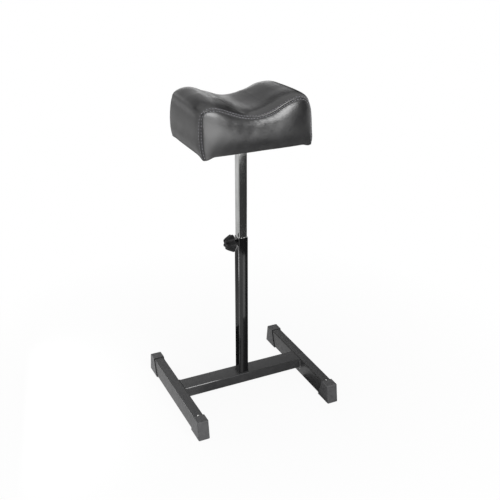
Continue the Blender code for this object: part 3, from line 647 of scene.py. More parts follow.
def top_folds(x, y):
    """Fall of the leather over the hollow: a crease with a gentler right side, and a soft dip beside it."""
    crease_y, crease_x = (np.array(CREASE_KNOTS) * MM).T
    off = x - np.interp(y, crease_y, crease_x)
    width = np.where(off < 0, 9 * MM, 11 * MM)
    along = ease(y, -80 * MM, -62 * MM) * (1 - 0.6 * ease(y, 40 * MM, 90 * MM))
    crease = 3.4 * MM * bell(np.hypot(off, 0.8 * MM), width, 1) * along
    return crease + 1.4 * MM * bell(x - 55 * MM, 16 * MM) * bell(y + 68 * MM, 20 * MM)


def strip_grid():
    """Outer skin of the strip.

    Across the strip a point lies at a share of the half depth and is lifted off the seam line along the
    line's outward normal, by the crown times a roll that rises evenly from the seam and then levels out.
    Fifteen hundredths of the crown rise quickly, by 1 - exp(-d / 6 mm), as the seam's turned edges stand
    up there. The lift is small at the sides.
    """
    profile = strip_profile()
    travel = unit(np.gradient(profile, axis=0))
    normal = np.stack([-travel[:, 1], travel[:, 0]], axis=-1)
    height = profile[:, 1]
    share = (np.sin(np.linspace(-1, 1, 121) * pi / 2) * (1 - 0.15 * MM / cushion().half_depth))[None, :]
    over_top = ease(normal[:, 1], 0.15, 0.85) * (height > 20 * MM)
    run = cushion().half_depth * (1 - np.abs(share))
    front, rear = (
        rolled(run, (at_knots(knots, profile[:, 0]) * over_top + SIDE_ROLL * (1 - over_top))[:, None] * MM)
        for knots in (FRONT_ROLL_KNOTS, REAR_ROLL_KNOTS)
    )
    rearward = ease(share, -0.5, 0.5)
    quick = (0.15 * over_top)[:, None]
    hump = (1 - quick) * (front * (1 - rearward) + rear * rearward) + quick * (1 - bell(run, 6 * MM, 1))
    swell = cushion().side_swell * ease(height, 0, 30 * MM)
    crown = cushion().crown * at_knots(CROWN_KNOTS, profile[:, 0]) * MM
    lift = (swell + (crown - swell) * over_top)[:, None] * hump
    row = np.arange(len(profile))
    from_end = np.minimum(row, len(profile) - 1 - row)
    inset = hem_insets()[0][np.minimum(from_end, HEM_ROWS - 1)]
    reach = half_depth(height) - np.where(from_end < HEM_ROWS, np.maximum(inset, 0), 0)
    x = profile[:, :1] + normal[:, :1] * lift
    y = reach[:, None] * share
    z = height[:, None] + normal[:, 1:] * lift
    z = z - top_folds(x, y) * over_top[:, None] * hump
    z = z + rear_rise(x, y, height[:, None])
    return np.stack([x, y, z - ears(x, y, z)], axis=-1)


def panel_grid(side):
    """Outer skin of an end panel, front for side -1 and rear for 1.

    Its X and Z are the transfinite patch between the straight lower edge and the seam's left, top and
    right parts. It swells by the product of 1 - exp(-(d / reach)^1.1) for the distances d to both ends
    and to the top, times 1 - 0.7 exp(-(d / 24 mm)^1.2) for the lower edge. Beside the seams it rolls
    over quickly, by the product of 1 - exp(-d / 1.5 mm). At the ends the distances start 3 mm inside
    the seam, which leaves a flat welt along it.
    """
    columns, rows = 170, 84
    a, c = np.linspace(0, 1, columns + 1), np.linspace(0, 1, rows + 1)
    left = seam_at(c * seam_chord[LEFT_SHOULDER])
    right = seam_at(seam_chord[-1] - c * (seam_chord[-1] - seam_chord[RIGHT_SHOULDER]))
    top = seam_at(seam_chord[LEFT_SHOULDER] + a * (seam_chord[RIGHT_SHOULDER] - seam_chord[LEFT_SHOULDER]))
    bottom = left[0] + a[:, None] * (right[0] - left[0])
    a2, c2 = a[None, :, None], c[:, None, None]
    patch = (1 - c2) * bottom + c2 * top + (1 - a2) * left[:, None] + a2 * right[:, None]
    patch = patch - (1 - a2) * (1 - c2) * left[0] - a2 * (1 - c2) * right[0]
    patch = patch - (1 - a2) * c2 * left[-1] - a2 * c2 * right[-1]
    x, z = patch[..., 0], patch[..., 1]
    across, up = a[None, :], c[:, None]
    wide = right[-1, 0] - left[-1, 0]
    tall = (top[:, 1] - bottom[:, 1])[None, :]
    welt = 3 * MM
    ends = [(soft_step(share * wide - welt), 18 * MM) for share in (across, 1 - across)]
    swell = 1 - 0.7 * bell(up * tall, 24 * MM, 1.2)
    roll = 1
    for distance, reach in (*ends, ((1 - up) * tall, 19 * MM)):
        swell = swell * (1 - bell(distance, reach, 1.1))
        roll = roll * (1 - bell(distance, 1.5 * MM, 1))
    depth = half_depth(z) + cushion().panel_swell * swell + cushion().edge_roll * roll
    inset, height = (value[:, None] for value in hem_insets())
    hem_x = bottom[None, :, 0] * (1 - inset / CUSHION_HALF)
    x = np.concatenate([hem_x, x])
    z = np.concatenate([np.broadcast_to(height, hem_x.shape), z])
    y = side * np.concatenate([depth[:1] - inset, depth])
    z = z + rear_rise(x, y, z)
    return np.stack([x, y, z - ears(x, y, z)], axis=-1)


def outward_normals(grid):
    """Unit normals of a cover grid, on the side away from the cushion's middle."""
    normal = unit(np.cross(np.gradient(grid, axis=0), np.gradient(grid, axis=1)))
    facing = np.sum(normal * (grid - [0, 0, 45 * MM]))
    return normal if facing > 0 else -normal


def seam_distance(grid, sewn_top):
    """Distance along the surface to the nearest sewn edge: both sides and, where it is sewn, the top."""
    run = travelled(grid, 1)
    near = np.minimum(run, run[:, -1:] - run)
    if sewn_top:
        up = travelled(grid)
        near = np.minimum(near, up[-1:] - up)
    return near


def sewn(grid, distance, along, seed):
    """The skin near a seam: tucked in at the seam, pressed down along the row and gathered beside it."""
    inset, pitch = cushion().stitch_inset, cushion().stitch_pitch
    tuck = 0.8 * MM * bell(distance, 1.1 * MM)
    hold = 0.7 + 0.3 * np.cos(2 * pi * along / pitch)
    press = 0.25 * MM * hold * bell(distance - inset, 1.0 * MM)
    band = ease(distance, 1 * MM, 7 * MM) * bell(distance, 13 * MM, 1)
    gathers = cushion().pucker * band * wave_field(along, distance * 0.25, 7 * MM, 24 * MM, 9, seed)
    flat = grid[..., 0], grid[..., 1] + grid[..., 2]
    broad = wave_field(*flat, 45 * MM, 110 * MM, 8, seed + 1)
    broad = broad + 0.35 * wave_field(*flat, 16 * MM, 40 * MM, 12, seed + 2)
    slack = 0.14 * MM * ease(distance, 4 * MM, 20 * MM) * broad
    return grid + outward_normals(grid) * (gathers + slack - tuck - press)[..., None]


def cover_skins():
    """The three outer skins of the cover, sewn and set in their place under the middle of the post."""
    place = np.array([0, post_y, underside])
    strip = strip_grid()
    along = np.broadcast_to(travelled(strip[:, :1]), strip.shape[:2])
    skins = {"cover_strip": sewn(strip, seam_distance(strip, False), along, 11) + place}
    for side, name in ((-1, "cover_front_panel"), (1, "cover_rear_panel")):
        panel = panel_grid(side)
        along = panel[..., 0] + panel[..., 2]
        skins[name] = sewn(panel, seam_distance(panel, True), along, 31 + side) + place
    return skins


def row_beside(grid):
    """The line one stitch inset from the first column, and the surface's normals along it."""
    run = travelled(grid, 1)
    column = np.clip(np.sum(run < cushion().stitch_inset, axis=1), 1, grid.shape[1] - 1)
    row = np.arange(len(grid))
    before, after = run[row, column - 1], run[row, column]
    share = ((cushion().stitch_inset - before) / (after - before))[:, None]
    normal = outward_normals(grid - [0, post_y, underside])
    line, up = (rows[row, column - 1] * (1 - share) + rows[row, column] * share for rows in (grid, normal))
    return np.stack([line, unit(up)])


def stitch_row(line, up, radius):
    """Short bowed capsules along a line: each starts and ends in the leather and rises in its middle.

    The middle line of a stitch is its chord plus sin(pi t) times the radius along the surface's normal,
    and its thickness is sin(pi t)^0.35 times the radius.
    """
    run = travelled(line)
    count = int(run[-1] / cushion().stitch_pitch)
    start = (np.arange(count) + 0.15) * run[-1] / count
    first, last = (read_along(line, run, at) for at in (start, start + STITCH_LENGTH))
    lift = unit(read_along(up, run, start + STITCH_LENGTH / 2))
    side = np.cross(unit(last - first), lift)
    t = np.linspace(0, 1, 7)[None, :, None, None]
    angle = np.linspace(0, 2 * pi, 8, endpoint=False)[None, None, :, None]
    first, last, lift, side = (value[:, None, None, :] for value in (first, last, lift, side))
    spine = first * (1 - t) + last * t + lift * (radius * np.sin(pi * t) - 0.2 * radius)
    thick = radius * np.maximum(np.sin(pi * t), 0.02) ** 0.35
    rings = spine + thick * (np.cos(angle) * side + np.sin(angle) * lift)
    return joined([ring_loft(ring) for ring in rings])


class FOOTREST_OT_cushion_cover(bpy.types.Operator):
    """Make the sewn cover: one strip over both sides and the top, and two end panels"""

    bl_idname = "footrest.cushion_cover"
    bl_label = "Cushion cover"

    def execute(self, context):
        for name, skin in cover_skins().items():
            inward = -outward_normals(skin - [0, post_y, underside])
            points, faces = sheet_shell(skin, inward, LEATHER)
            piece = add_piece(name + "_sewn", "top", points, faces, grained_leather(), "leather")
            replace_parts(piece, *([name, "cushion_foam"] if name == "cover_strip" else [name]))
        return {"FINISHED"}


class FOOTREST_OT_stitches(bpy.types.Operator):
    """Sew a row of stitches on each side of both seams"""

    bl_idname = "footrest.stitches"
    bl_label = "Stitches"

    def execute(self, context):
        skins = cover_skins()
        strip = skins["cover_strip"][HEM_ROWS:-HEM_ROWS]
        # Places that a panel's rows leave out at each shoulder, where the needle turns the corner
        turn = 6
        for word, strip_side in (("front", strip), ("rear", strip[:, ::-1])):
            panel = skins[f"cover_{word}_panel"][HEM_ROWS:]
            left, right = row_beside(panel)[:, :-turn], row_beside(panel[:, ::-1])[:, :-turn]
            top = row_beside(np.swapaxes(panel[::-1], 0, 1))[:, turn:-turn]
            round_panel = np.concatenate([left, top, right[:, ::-1]], axis=1)
            rows = [stitch_row(*row_beside(strip_side), 0.36 * MM), stitch_row(*round_panel, 0.4 * MM)]
            add_piece(word + "_stitches", "top", *joined(rows), sewing_thread(), "leather")
        return {"FINISHED"}


# Tubes, boots and beads

ALONG_X = ((0, 1, 0), (0, 0, 1), (1, 0, 0))
ALONG_Y = ((0, 0, 1), (1, 0, 0), (0, 1, 0))
TOWARDS_KNOB = ((0, 0, 1), (0, 1, 0), (-1, 0, 0))
QUARTER = np.linspace(0, pi / 2, 7)


def turned(points, axes, origin):
    """Points whose local X, Y and Z lie along three world directions from an origin."""
    return points @ np.array(axes, float) + np.asarray(origin)


def tube_rings(outline, wall, length):
    """Closed skin of a tube along local Z from 0: outer wall, eased ends, and the bore back again."""
    edge = 0.3 * MM
    middle = outline.mean(0)
    span = np.abs(outline - middle).max(0)
    inner, eased = (middle + (outline - middle) * (span - inset) / span for inset in (wall, edge))
    stack = [(outline, edge), (outline, length - edge), (eased, length)]
    stack += [(inner, length), (inner, 0), (eased, 0)]
    return np.stack([np.insert(shape, 2, height, axis=1) for shape, height in stack])


def closed_path(outline, step=0.6 * MM):
    """An outline walked at even steps, closed, with its outward directions."""
    loop = np.concatenate([outline, outline[:1]])
    run = travelled(loop)
    walk = read_along(loop, run, np.arange(0, run[-1], step))
    travel = np.roll(walk, -1, axis=0) - np.roll(walk, 1, axis=0)
    return walk, unit(np.stack([travel[:, 1], -travel[:, 0]], axis=-1))


class FOOTREST_OT_base_tubes(bpy.types.Operator):
    """Draw the two legs and the crossbar as rounded rectangular tubes"""

    bl_idname = "footrest.base_tubes"
    bl_label = "Base tubes"

    def execute(self, context):
        for node in ("leg_left_tube", "leg_right_tube", "crossbar_tube"):
            low, high, origin = node_box(node)
            run = np.argmax(high - low)
            axes = ALONG_X if run == 0 else ALONG_Y
            size = (high - low)[[(run + 1) % 3, (run + 2) % 3]]
            origin[run] = low[run]
            rings = tube_rings(rounded_outline(*size, 2.5 * MM), 1.5 * MM, (high - low)[run])
            rings = turned(rings, axes, origin)
            loft_over(node, "_drawn", "base", rings, satin_powder(), "satin_paint", 40, capped=False)
        return {"FINISHED"}


class FOOTREST_OT_posts(bpy.types.Operator):
    """Draw the painted outer post and the chromed inner post"""

    bl_idname = "footrest.posts"
    bl_label = "Posts"

    def execute(self, context):
        for node, body, corner, wall, material, slot in (
            ("outer_post_tube", "base", 1.6 * MM, 1.2 * MM, gloss_enamel(), "gloss_paint"),
            ("inner_post_tube", "top", 1.3 * MM, 1.5 * MM, chrome_plate(), "chrome_plate"),
        ):
            low, high, middle = node_box(node)
            outline = closed_path(rounded_outline(*(high - low)[:2], corner, 16), 0.15 * MM)[0]
            half = (high - low)[:2] / 2
            rise = np.maximum(1 - (outline / half)[:, ::-1] ** 2, 0)
            outline = outline * (1 + metal().face_crown / half * rise)
            rings = tube_rings(outline, wall, (high - low)[2]) + [*middle[:2], low[2]]
            loft_over(node, "_drawn", body, rings, material, slot, 40, capped=False)
        return {"FINISHED"}


def boot_rings(width, top):
    """Rings of a boot from the middle of its sloping end, over its outside, round its lip and back inside.

    A ring is the outline in X and Z drawn in by an inset. Its distance from the outer end is a length
    plus a share of the way to the mouth, where both ends slope with height.
    """
    foot_reach, top_reach, draft, corner = 52 * MM, 34 * MM, 7 * MM, metal().boot_round
    stack = [(8 * MM, 0, 0), (corner + 2 * MM, 0, 0)]
    stack += [(corner * (1 - np.sin(q)), corner * (1 - np.cos(q)), 0) for q in QUARTER]
    stack += [(0, 0, share) for share in (0.3, 0.5, 0.7, 0.85)] + [(0, -0.5 * MM, 1)]
    lip = [(0.1, -0.15), (0.35, 0), (0.7, 0), (1.0, -0.3), (1.1, -2.2), (1.75, -3.4), (1.8, -5)]
    stack += [(inset * MM, length * MM, 1) for inset, length in lip] + [(1.8 * MM, 11 * MM, 0)]
    rings = []
    for inset, length, share in stack:
        foot = inset * (0.5 if share < 0.2 and length < corner + MM else 1.1)
        tall = top - inset - foot
        outline = rounded_outline(width - 2 * inset, tall, max(2.4 * MM - inset, 0.5 * MM), 6)
        x, z = outline[:, 0], outline[:, 1] + foot + tall / 2
        outer = draft * z / top
        mouth = foot_reach + (top_reach - foot_reach) * z / top
        rings.append(np.stack([x, outer + length + share * (mouth - outer), z], axis=-1))
    return np.stack(rings)


class FOOTREST_OT_end_boots(bpy.types.Operator):
    """Mould the four boots that the legs stand in"""

    bl_idname = "footrest.end_boots"
    bl_label = "End boots"

    def execute(self, context):
        for node in ("cap_front_left", "cap_front_right", "cap_rear_left", "cap_rear_right"):
            low, high, middle = node_box(node)
            inward = 1 if "front" in node else -1
            end = (low if inward > 0 else high)[1] - inward * 0.1 * MM
            rings = boot_rings(high[0] - low[0], high[2]) * [1, inward, 1] + [middle[0], end, 0]
            loft_over(node, "_moulded", "base", rings, moulded_plastic(), "black_plastic", 50)
        return {"FINISHED"}


def bead_rings(path, outward, up, seed):
    """Rings of a weld bead along a path of corner points.

    A ring runs from the corner out along one wall, over a convex quarter round and back down the
    other. Its leg swells and sinks with the ripples, one to each 2.4 mm, and drifts a little.
    """
    run = travelled(path)
    ripple = 1 + 0.1 * np.abs(np.sin(pi * run / (2.4 * MM)))
    ripple = ripple + 0.07 * wave_field(run, run * 0, 5 * MM, 20 * MM, 5, seed)
    angle = np.linspace(0, pi / 2, 8)
    flat = np.concatenate([[[-0.15, -0.15]], np.stack([np.cos(angle), np.sin(angle)], axis=-1)])
    size = (metal().bead * ripple)[:, None, None]
    return path[:, None] + size * (flat[None, :, :1] * outward[:, None] + flat[None, :, 1:] * np.array(up))


class FOOTREST_OT_weld_beads(bpy.types.Operator):
    """Lay the rippled beads round the post's foot, under the plate and at the crossbar's ends"""

    bl_idname = "footrest.weld_beads"
    bl_label = "Weld beads"

    def execute(self, context):
        for node, body, tube, up in (
            ("post_foot_weld", "base", "outer_post_tube", 1),
            ("plate_weld", "top", "inner_post_tube", -1),
        ):
            low, high, middle = node_box(tube)
            z = node_box(node)[0 if up > 0 else 1][2]
            walk, outward = closed_path(rounded_outline(*(high - low)[:2] + 0.1 * MM, 2.1 * MM))
            path = np.insert(walk + middle[:2], 2, z, axis=1)
            rings = bead_rings(path, np.insert(outward, 2, 0, axis=1), (0.0, 0, up), 5)
            loft_over(node, "_laid", body, rings, bead_enamel(), "gloss_paint", capped=False)
        low, high, middle = node_box("crossbar_tube")
        corner = 2.5 * MM
        for side, word in ((-1, "left"), (1, "right")):
            walk, outward = closed_path(rounded_outline(*(high - low)[1:], corner))
            below_top = walk[:, 1] < (high[2] - low[2]) / 2 - corner * 0.6
            start = np.argmax(below_top & ~np.roll(below_top, 1))
            order = np.roll(np.arange(len(walk)), -start)
            order = order[below_top[order]]
            path = np.insert(walk[order] + middle[1:], 0, (low if side < 0 else high)[0], axis=1)
            rings = bead_rings(path, np.insert(outward[order], 0, 0, axis=1), (-float(side), 0, 0), 8 + side)
            loft_over("crossbar_weld_" + word, "_laid", "base", rings, satin_powder(), "satin_paint")
        return {"FINISHED"}


# Clamp and fasteners


def lathe(profile, around=40, shape=None):
    """Rings about local Z from (radius, height) rows in millimetres.

    A shape gives the radius at each angle and row.
    """
    profile = np.asarray(profile, float) * MM
    angle = np.linspace(0, 2 * pi, around, endpoint=False)
    radius = profile[:, :1] * np.ones(around) if shape is None else shape(profile, angle)
    flat = np.stack([radius * np.cos(angle), radius * np.sin(angle)], axis=-1)
    return np.concatenate([flat, np.broadcast_to(profile[:, 1, None, None], (*radius.shape, 1))], axis=-1)


def star_radius(profile, angle):
    """Radius of the lobed knob: the row's radius less the flute, deepest between its hub and its rim."""
    look = bpy.context.scene.footrest_knob
    dip = np.abs(np.sin(look.lobes * (angle - look.turn) / 2)) ** 3.4
    share = np.interp(profile[:, :1] / look.radius, [0.28, 0.56, 1.0], [0, 2.0, 1.0])
    return profile[:, :1] - look.scallop * share * dip


def hexagon(flat, angle):
    """Radius at each angle of a six-sided bar whose flats lie at a distance from its axis."""
    return flat / np.cos((angle % (pi / 3)) - pi / 6)


def nut_radius(profile, angle):
    """Radius of a nut with flats at 6.5 mm, cut down to the row's radius."""
    return np.minimum(hexagon(6.5 * MM, angle), profile[:, :1])


def thread_radius(profile, angle):
    """Radius of a screw: a triangle wave of 1.25 mm pitch that advances with the angle."""
    turn = profile[:, 1:] / (1.25 * MM) - angle[None, :] / (2 * pi)
    return profile[:, :1] - 0.65 * MM * np.abs(turn % 1 - 0.5) * 2


def socket_radius(profile, angle):
    """Radius of a bolt's head, whose innermost rows are a six-sided socket with flats at 2 mm."""
    socket = hexagon(profile[:, :1], angle)
    return np.where(profile[:, :1] < 2.4 * MM, socket, profile[:, :1])


class FOOTREST_OT_clamp(bpy.types.Operator):
    """Make the welded nut, the threaded stud, the thrust pad and the star knob"""

    bl_idname = "footrest.clamp"
    bl_label = "Clamp"

    def execute(self, context):
        def make(node, ending, body, rings, material, slot, crease, capped=True):
            rings = turned(rings, TOWARDS_KNOB, (0, post_y, clamp_z))
            loft_over(node, ending, body, rings, material, slot, crease, capped)

        def reach(node):
            """Where a node starts and ends on the way out to the knob, in millimetres."""
            low, high = node_box(node)[:2]
            return -high[0] / MM, -low[0] / MM

        inner, outer = reach("weld_nut")
        rows = [(4.1, inner), (6.6, inner), (7.5, inner + 1), (7.5, outer - 1), (6.4, outer), (4.7, outer)]
        rings = lathe([*rows, (4.1, outer - 0.6)], 72, nut_radius)
        make("weld_nut", "_cut", "base", rings, gloss_enamel(), "gloss_paint", 30, capped=False)

        back, face = reach("clamp_pad")
        rings = lathe([(3.2, back), (3.7, back + 0.5), (3.7, face - 0.5), (3.2, face)])
        make("clamp_pad", "_turned", "clamp_pad", rings, pad_nylon(), "pad_nylon", 30)

        start, end = reach("knob_stud")
        height = np.linspace(start, end, 240)
        radius = 4.0 * (ease(height, start, start + 1.2) * 0.25 + 0.75)
        rings = lathe(np.column_stack([radius, height]), 28, thread_radius)
        make("knob_stud", "_threaded", "knob", rings, zinc_plate(), "zinc_steel", 40)

        # The knob's profile: dished front, rounded shoulder, fluted slope, rim, back, collar and bore
        look = context.scene.footrest_knob
        rim, depth = look.radius / MM, look.depth / MM
        tip = reach("star_knob")[0]
        back = tip + 2
        front = back + depth
        rows = [(1.5, front - 0.8), (4.0, front - 0.8), (4.6, front - 0.2), (5.4, front)]
        rows += [(0.44 * rim, front - 0.1)]
        rows += [((0.53 + 0.05 * np.sin(q)) * rim, front - 1.1 * (1 - np.cos(q))) for q in QUARTER]
        slope = np.linspace(0.1, 1, 10)
        rows += [(rim * (0.58 + 0.42 * s**0.8), front - 1.1 - (depth - 3.4) * s) for s in slope]
        rows += [(rim - 2 * (1 - np.cos(q)), back + 2 * (1 - np.sin(q))) for q in QUARTER]
        rows += [(0.8 * rim, back), (0.55 * rim, back), (8.6, back), (8.5, tip + 0.4)]
        rows += [(8.1, tip), (4.9, tip), (4.4, tip + 0.5), (4.4, tip + 9)]
        rings = lathe(rows, 200, star_radius)
        make("star_knob", "_moulded", "knob", rings, knob_plastic(), "black_plastic", 50)
        return {"FINISHED"}


class FOOTREST_OT_fasteners(bpy.types.Operator):
    """Turn the rivets in the legs and the bolts under the plate"""

    bl_idname = "footrest.fasteners"
    bl_label = "Fasteners"

    def execute(self, context):
        # A rivet's dome is a quarter of an ellipse, and so is the edge of a bolt's button head
        quarter = np.linspace(0.05, pi / 2, 9)
        for node in ("cap_rivet_left", "cap_rivet_right"):
            low, high, middle = (corner / MM for corner in node_box(node))
            base = high[2] - 1.6
            rows = [(2.2 * np.sin(q), base + 1.1 * np.cos(q)) for q in quarter]
            rows += [(2.1, base - 0.2), (1.5, base - 0.2), (1.5, low[2])]
            rings = lathe(rows) + [*middle[:2] * MM, 0]
            loft_over(node, "_domed", "base", rings, zinc_plate(), "zinc_steel", 50)
        for number in range(1, 5):
            node = f"plate_bolt_{number}"
            low, high, middle = (corner / MM for corner in node_box(node))
            under, head = low[2], low[2] + 3.5
            rows = [(0.6, under + 2), (1.99, under + 2), (2, under), (3.1, under)]
            rows += [(6 - 2.6 * (1 - np.sin(q)), head - 3.4 * np.cos(q)) for q in quarter]
            rows += [(6, head), (3, head), (3, high[2])]
            rings = lathe(rows, 36, socket_radius) + [*middle[:2] * MM, 0]
            loft_over(node, "_turned", "top", rings, zinc_plate(), "zinc_steel", 35)
        return {"FINISHED"}


# Underside


class FOOTREST_OT_underside(bpy.types.Operator):
    """Stretch the lining cloth over the hems and staple it down"""

    bl_idname = "footrest.underside"
    bl_label = "Underside"

    def execute(self, context):
        # The cloth's long edges are drawn in by 1.2 mm times |cos| of the way along them, in waves of
        # 19 mm that fade out over 9 mm. It sags by 0.5 mm times 1 plus a smooth random field, eased to
        # nothing at its edges and over the steel plate.
        low, high, middle = node_box("dust_cover")
        size = (high - low)[:2]
        a, b = np.meshgrid(np.linspace(-1, 1, 119), np.linspace(-1, 1, 81), indexing="ij")
        x, y = a * size[0] / 2, b * size[1] / 2
        pull = 1.2 * MM * np.cos(2 * pi * x / (19 * MM)) * (1 - ease(size[1] / 2 - np.abs(y), 0, 9 * MM))
        y = y - np.sign(y) * np.abs(pull)
        clear = 1 - ease(66 * MM - np.abs(x), 0, 12 * MM) * ease(51 * MM - np.abs(y), 0, 12 * MM)
        inner = ease(1 - np.maximum(np.abs(a), np.abs(b)), 0.02, 0.25)
        sag = 0.5 * MM * clear * inner * (1 + wave_field(x, y, 25 * MM, 70 * MM, 7, 3))
        grid = np.stack([x + middle[0], y + middle[1], low[2] + 0.25 * MM - sag], axis=-1)
        points, faces = sheet_shell(grid, np.array([0.0, 0, 1]), 0.35 * MM)
        cloth = add_piece("dust_cover_cloth", "top", points, faces, felted_cloth(), "dust_cloth", 40)
        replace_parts(cloth, "dust_cover")

        # Each staple is a wire that runs flat for some 9 mm and turns up into the board at both ends
        half = size / 2 - 6 * MM
        places = [(x, side * half[1], 1, 0) for x in np.linspace(-half[0], half[0], 8) for side in (-1, 1)]
        along = np.linspace(-half[1], half[1], 6)[1:-1]
        places += [(side * half[0], y, 0, 1) for y in along for side in (-1, 1)]
        t = np.linspace(0, 1, 9)
        reach = 4.6 * MM * np.cos(pi * (1 - t))
        z = low[2] + 0.45 * MM - 0.55 * MM * np.minimum(1, 6 * np.minimum(t, 1 - t))
        wire = rounded_outline(1.3 * MM, 0.6 * MM, 0.2 * MM, 2)
        parts = []
        for x, y, dx, dy in places:
            spine = np.stack([x + reach * dx + middle[0], y + reach * dy + middle[1], z], axis=-1)
            parts.append(ring_loft(spine[:, None] + wire @ np.array([[-dy, dx, 0.0], [0, 0, 1.0]])))
        add_piece("staples", "top", *joined(parts), zinc_plate(), "zinc_steel", 40)
        return {"FINISHED"}


class FOOTREST_OT_kept_parts(bpy.types.Operator):
    """Finish the parts whose CAD shape stays: plate, board, tee nuts and post plug"""

    bl_idname = "footrest.kept_parts"
    bl_label = "Kept parts"

    def execute(self, context):
        finishes = {"mounting_plate": satin_powder(), "inner_post_plug": moulded_plastic()}
        finishes["cushion_board"] = raw_plywood()
        finishes.update({f"tee_nut_{number}": zinc_plate() for number in range(1, 5)})
        for node, material in finishes.items():
            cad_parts[node].material_slots[0].material = material
        return {"FINISHED"}


# Stage

# Soft lamps: name, place, the point they face, width and height. Their powers are in StageLook.
LAMPS = (
    ("key", (0.15, -1.68, 1.73), (0, -0.05, 0.98), 1.15, 0.65),
    ("front", (-0.24, -1.9, 0.6), (0, -0.1, 0.6), 2.1, 0.95),
    ("rear", (0.58, 2.0, 1.0), (0, 0, 0.7), 0.95, 0.5),
    ("wall", (0.06, 2.1, 1.55), (0, 0, 0.7), 2.6, 1.2),
    ("side", (-0.95, 1.75, 0.75), (-0.1, 0, 0.4), 1.5, 1.4),
    ("low", (-0.52, 0.12, 0.1), (-0.22, 0.05, 0), 0.6, 0.12),
)

# Cards on the floor: name, shade, height over the floor and corners. Those that lie 2 mm up lie on others.
FLOOR_CARDS = (
    ("front_card", 0.02, 1 * MM, [(0.2, -1.9), (1.2, -1.9), (1.2, -0.7), (0.2, -0.79)]),
    ("right_card", 0.02, 1 * MM, [(1.25, -1.5), (2.8, -1.5), (2.8, 0.2), (1.25, 0.2)]),
    ("left_card", 0.02, 1 * MM, [(-2.4, -1.6), (-0.8, -1.6), (-0.8, 0.5), (-2.4, 0.5)]),
    ("rear_card", 0.19, 1 * MM, [
        (-0.1, 0.04), (0, 0.04), (0, 0.8), (-0.42, 0.8), (-0.42, 0.6), (-0.19, 0.26),
    ]),
    ("front_card_near", 0.1, 1 * MM, [
        (-0.13, -0.03), (0.15, -0.03), (0.42, -0.17), (0.42, -0.36), (0, -0.36),
    ]),
    ("rear_card_far", 1.0, 1 * MM, [(0, 0.81), (0, 3.2), (-2.6, 3.2), (-1.2, 0.81)]),
    ("rear_card_near", 0.0, 2 * MM, [(-0.08, 0.04), (0, 0.04), (0, 0.28), (-0.19, 0.28), (-0.17, 0.22)]),
    ("post_card_low", 0.04, 2 * MM, [(-0.02, -0.02), (-0.012, -0.02), (0.088, -0.258), (0.071, -0.258)]),
    ("post_card_left", 0.52, 2 * MM, [
        (-0.012, -0.02), (-0.003, -0.02), (0.106, -0.258), (0.339, -0.773),
        (0.325, -0.83), (0.268, -0.773), (0.071, -0.258), (0.088, -0.258),
    ]),
    ("post_card_right", 0.04, 2 * MM, [(0.003, -0.02), (0.02, -0.02), (0.444, -0.773), (0.373, -0.773)]),
)
# Boards that stand behind the lamps: name, shade and place along Y
UPRIGHT_BOARDS = (("rear_board", 0.1, 3.3), ("front_board", 0.2, -2.3))


def soft_lamp(name, place, target, width, height, power):
    data = bpy.data.lights.new(name, "AREA")
    data.shape = "RECTANGLE"
    data.size, data.size_y = width, height
    data.energy = power
    lamp = add_object(name, data)
    lamp.visible_camera = False
    lamp.location = place
    aim = np.array(target, float) - np.array(place, float)
    lamp.rotation_euler = (np.arctan2(np.hypot(aim[0], aim[1]), -aim[2]), 0, np.arctan2(-aim[0], aim[1]))


def paper_sheet(name, corners, shade):
    """A flat sheet of plain paper that belongs to the stage, and its material's nodes."""
    mesh = bpy.data.meshes.new(name)
    mesh.from_pydata(corners, [], [tuple(range(len(corners)))])
    sheet = add_object(name, mesh)
    inputs = {"Base Color": (shade, shade, shade, 1), "Roughness": 0.9, "Specular IOR Level": 0.1}
    material, tree = add_material(name + "_paper", inputs)[:2]
    mesh.materials.append(material)
    return sheet, tree


def reflection_card(name, corners, shade):
    """A grey card that is seen in reflections only."""
    card = paper_sheet(name, corners, shade)[0]
    card.visible_camera = card.visible_diffuse = card.visible_shadow = card.visible_transmission = False


def white_where_seen(tree, white, output, share):
    """Give camera, reflection and transmission rays a share of white, and other rays the plain shader.

    The plain shader is the one that is joined to the output's surface so far.
    """
    rays = add_node(tree, "LightPath").outputs
    seen = worked_out(tree, "MAXIMUM", rays["Is Camera Ray"], rays["Is Glossy Ray"])
    seen = worked_out(tree, "MAXIMUM", seen, rays["Is Transmission Ray"])
    seen = worked_out(tree, "MULTIPLY", seen, share)
    surface = tree.nodes[output].inputs["Surface"]
    blend = add_node(tree, "MixShader", {0: seen, 1: surface.links[0].from_socket, 2: white.outputs[0]})
    tree.links.new(blend.outputs[0], surface)


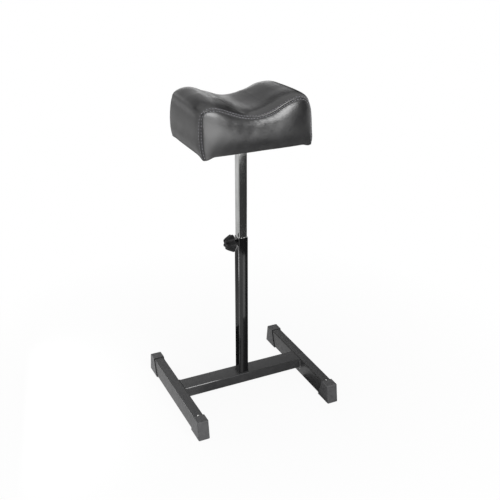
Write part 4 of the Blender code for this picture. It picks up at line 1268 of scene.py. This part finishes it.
class FOOTREST_OT_stage(bpy.types.Operator):
    """Set up the floor, the soft lamps, the cards, the room and the camera"""

    bl_idname = "footrest.stage"
    bl_label = "Stage"

    def execute(self, context):
        scene = context.scene
        look = scene.footrest_stage
        scene.view_settings.view_transform = "Standard"

        reach = 16.0
        corners = [(-reach, -reach, 0), (reach, -reach, 0), (reach, reach, 0), (-reach, reach, 0)]
        tree = paper_sheet("floor", corners, 0.86)[1]
        place = add_node(tree, "TexCoord").outputs["Object"]
        away = add_node(tree, "VectorMath", {0: place}, operation="LENGTH").outputs["Value"]
        share = add_node(tree, "MapRange", enumerate((away, 0.25, 0.9, 0.93, 1.0))).outputs[0]
        white_where_seen(tree, add_node(tree, "Emission", {"Strength": 1.0}), "Material Output", share)

        world = bpy.data.worlds.new("room")
        world.use_nodes = True
        tree = world.node_tree
        set_inputs(tree, tree.nodes["Background"], {"Color": (1, 1, 1, 1), "Strength": look.room})
        white = add_node(tree, "Background", {"Color": (1, 1, 1, 1), "Strength": 1.0})
        white_where_seen(tree, white, "World Output", 1.0)
        scene.world = world

        for name, place, target, width, height in LAMPS:
            soft_lamp(name + "_lamp", place, target, width, height, getattr(look, name))
        for name, shade, lift, corners in FLOOR_CARDS:
            reflection_card(name, [(x, y, lift) for x, y in corners], shade)
        for name, shade, y in UPRIGHT_BOARDS:
            reflection_card(name, [(-4.0, y, 0), (5.0, y, 0), (5.0, y, 4.5), (-4.0, y, 4.5)], shade)

        data = bpy.data.cameras.new("camera")
        data.lens = look.lens
        data.dof.use_dof = False
        data.clip_end = 20
        camera = add_object("camera", data)
        camera.location = look.camera_place
        camera.rotation_euler = (pi / 2 - look.camera_dip, 0, -look.camera_bearing)
        scene.camera = camera
        return {"FINISHED"}


OPERATORS = (
    FOOTREST_OT_stage,
    FOOTREST_OT_cushion_cover,
    FOOTREST_OT_stitches,
    FOOTREST_OT_underside,
    FOOTREST_OT_base_tubes,
    FOOTREST_OT_posts,
    FOOTREST_OT_end_boots,
    FOOTREST_OT_weld_beads,
    FOOTREST_OT_clamp,
    FOOTREST_OT_fasteners,
    FOOTREST_OT_kept_parts,
)


GROUPS = {
    "footrest_cushion": CushionLook,
    "footrest_metal": MetalLook,
    "footrest_knob": KnobLook,
    "footrest_stage": StageLook,
}


class FOOTREST_PT_panel(bpy.types.Panel):
    """The sizes and colours of the footrest, and a button for each group of pieces"""

    bl_label = "Footrest"
    bl_idname = "FOOTREST_PT_panel"
    bl_space_type = "VIEW_3D"
    bl_region_type = "UI"
    bl_category = "Footrest"

    def draw(self, context):
        for group, look in GROUPS.items():
            box = self.layout.box()
            for name in look.__annotations__:
                box.prop(getattr(context.scene, group), name)
        for operator in OPERATORS:
            self.layout.operator(operator.bl_idname)


CLASSES = (*GROUPS.values(), *OPERATORS, FOOTREST_PT_panel)


def register():
    for cls in CLASSES:
        bpy.utils.register_class(cls)
    for name, group in GROUPS.items():
        setattr(bpy.types.Scene, name, PointerProperty(type=group))


def unregister():
    for name in GROUPS:
        delattr(bpy.types.Scene, name)
    for cls in reversed(CLASSES):
        bpy.utils.unregister_class(cls)


def main():
    register()
    for operator in OPERATORS:
        group, name = operator.bl_idname.split(".")
        getattr(getattr(bpy.ops, group), name)()


if __name__ == "__main__":
    main()
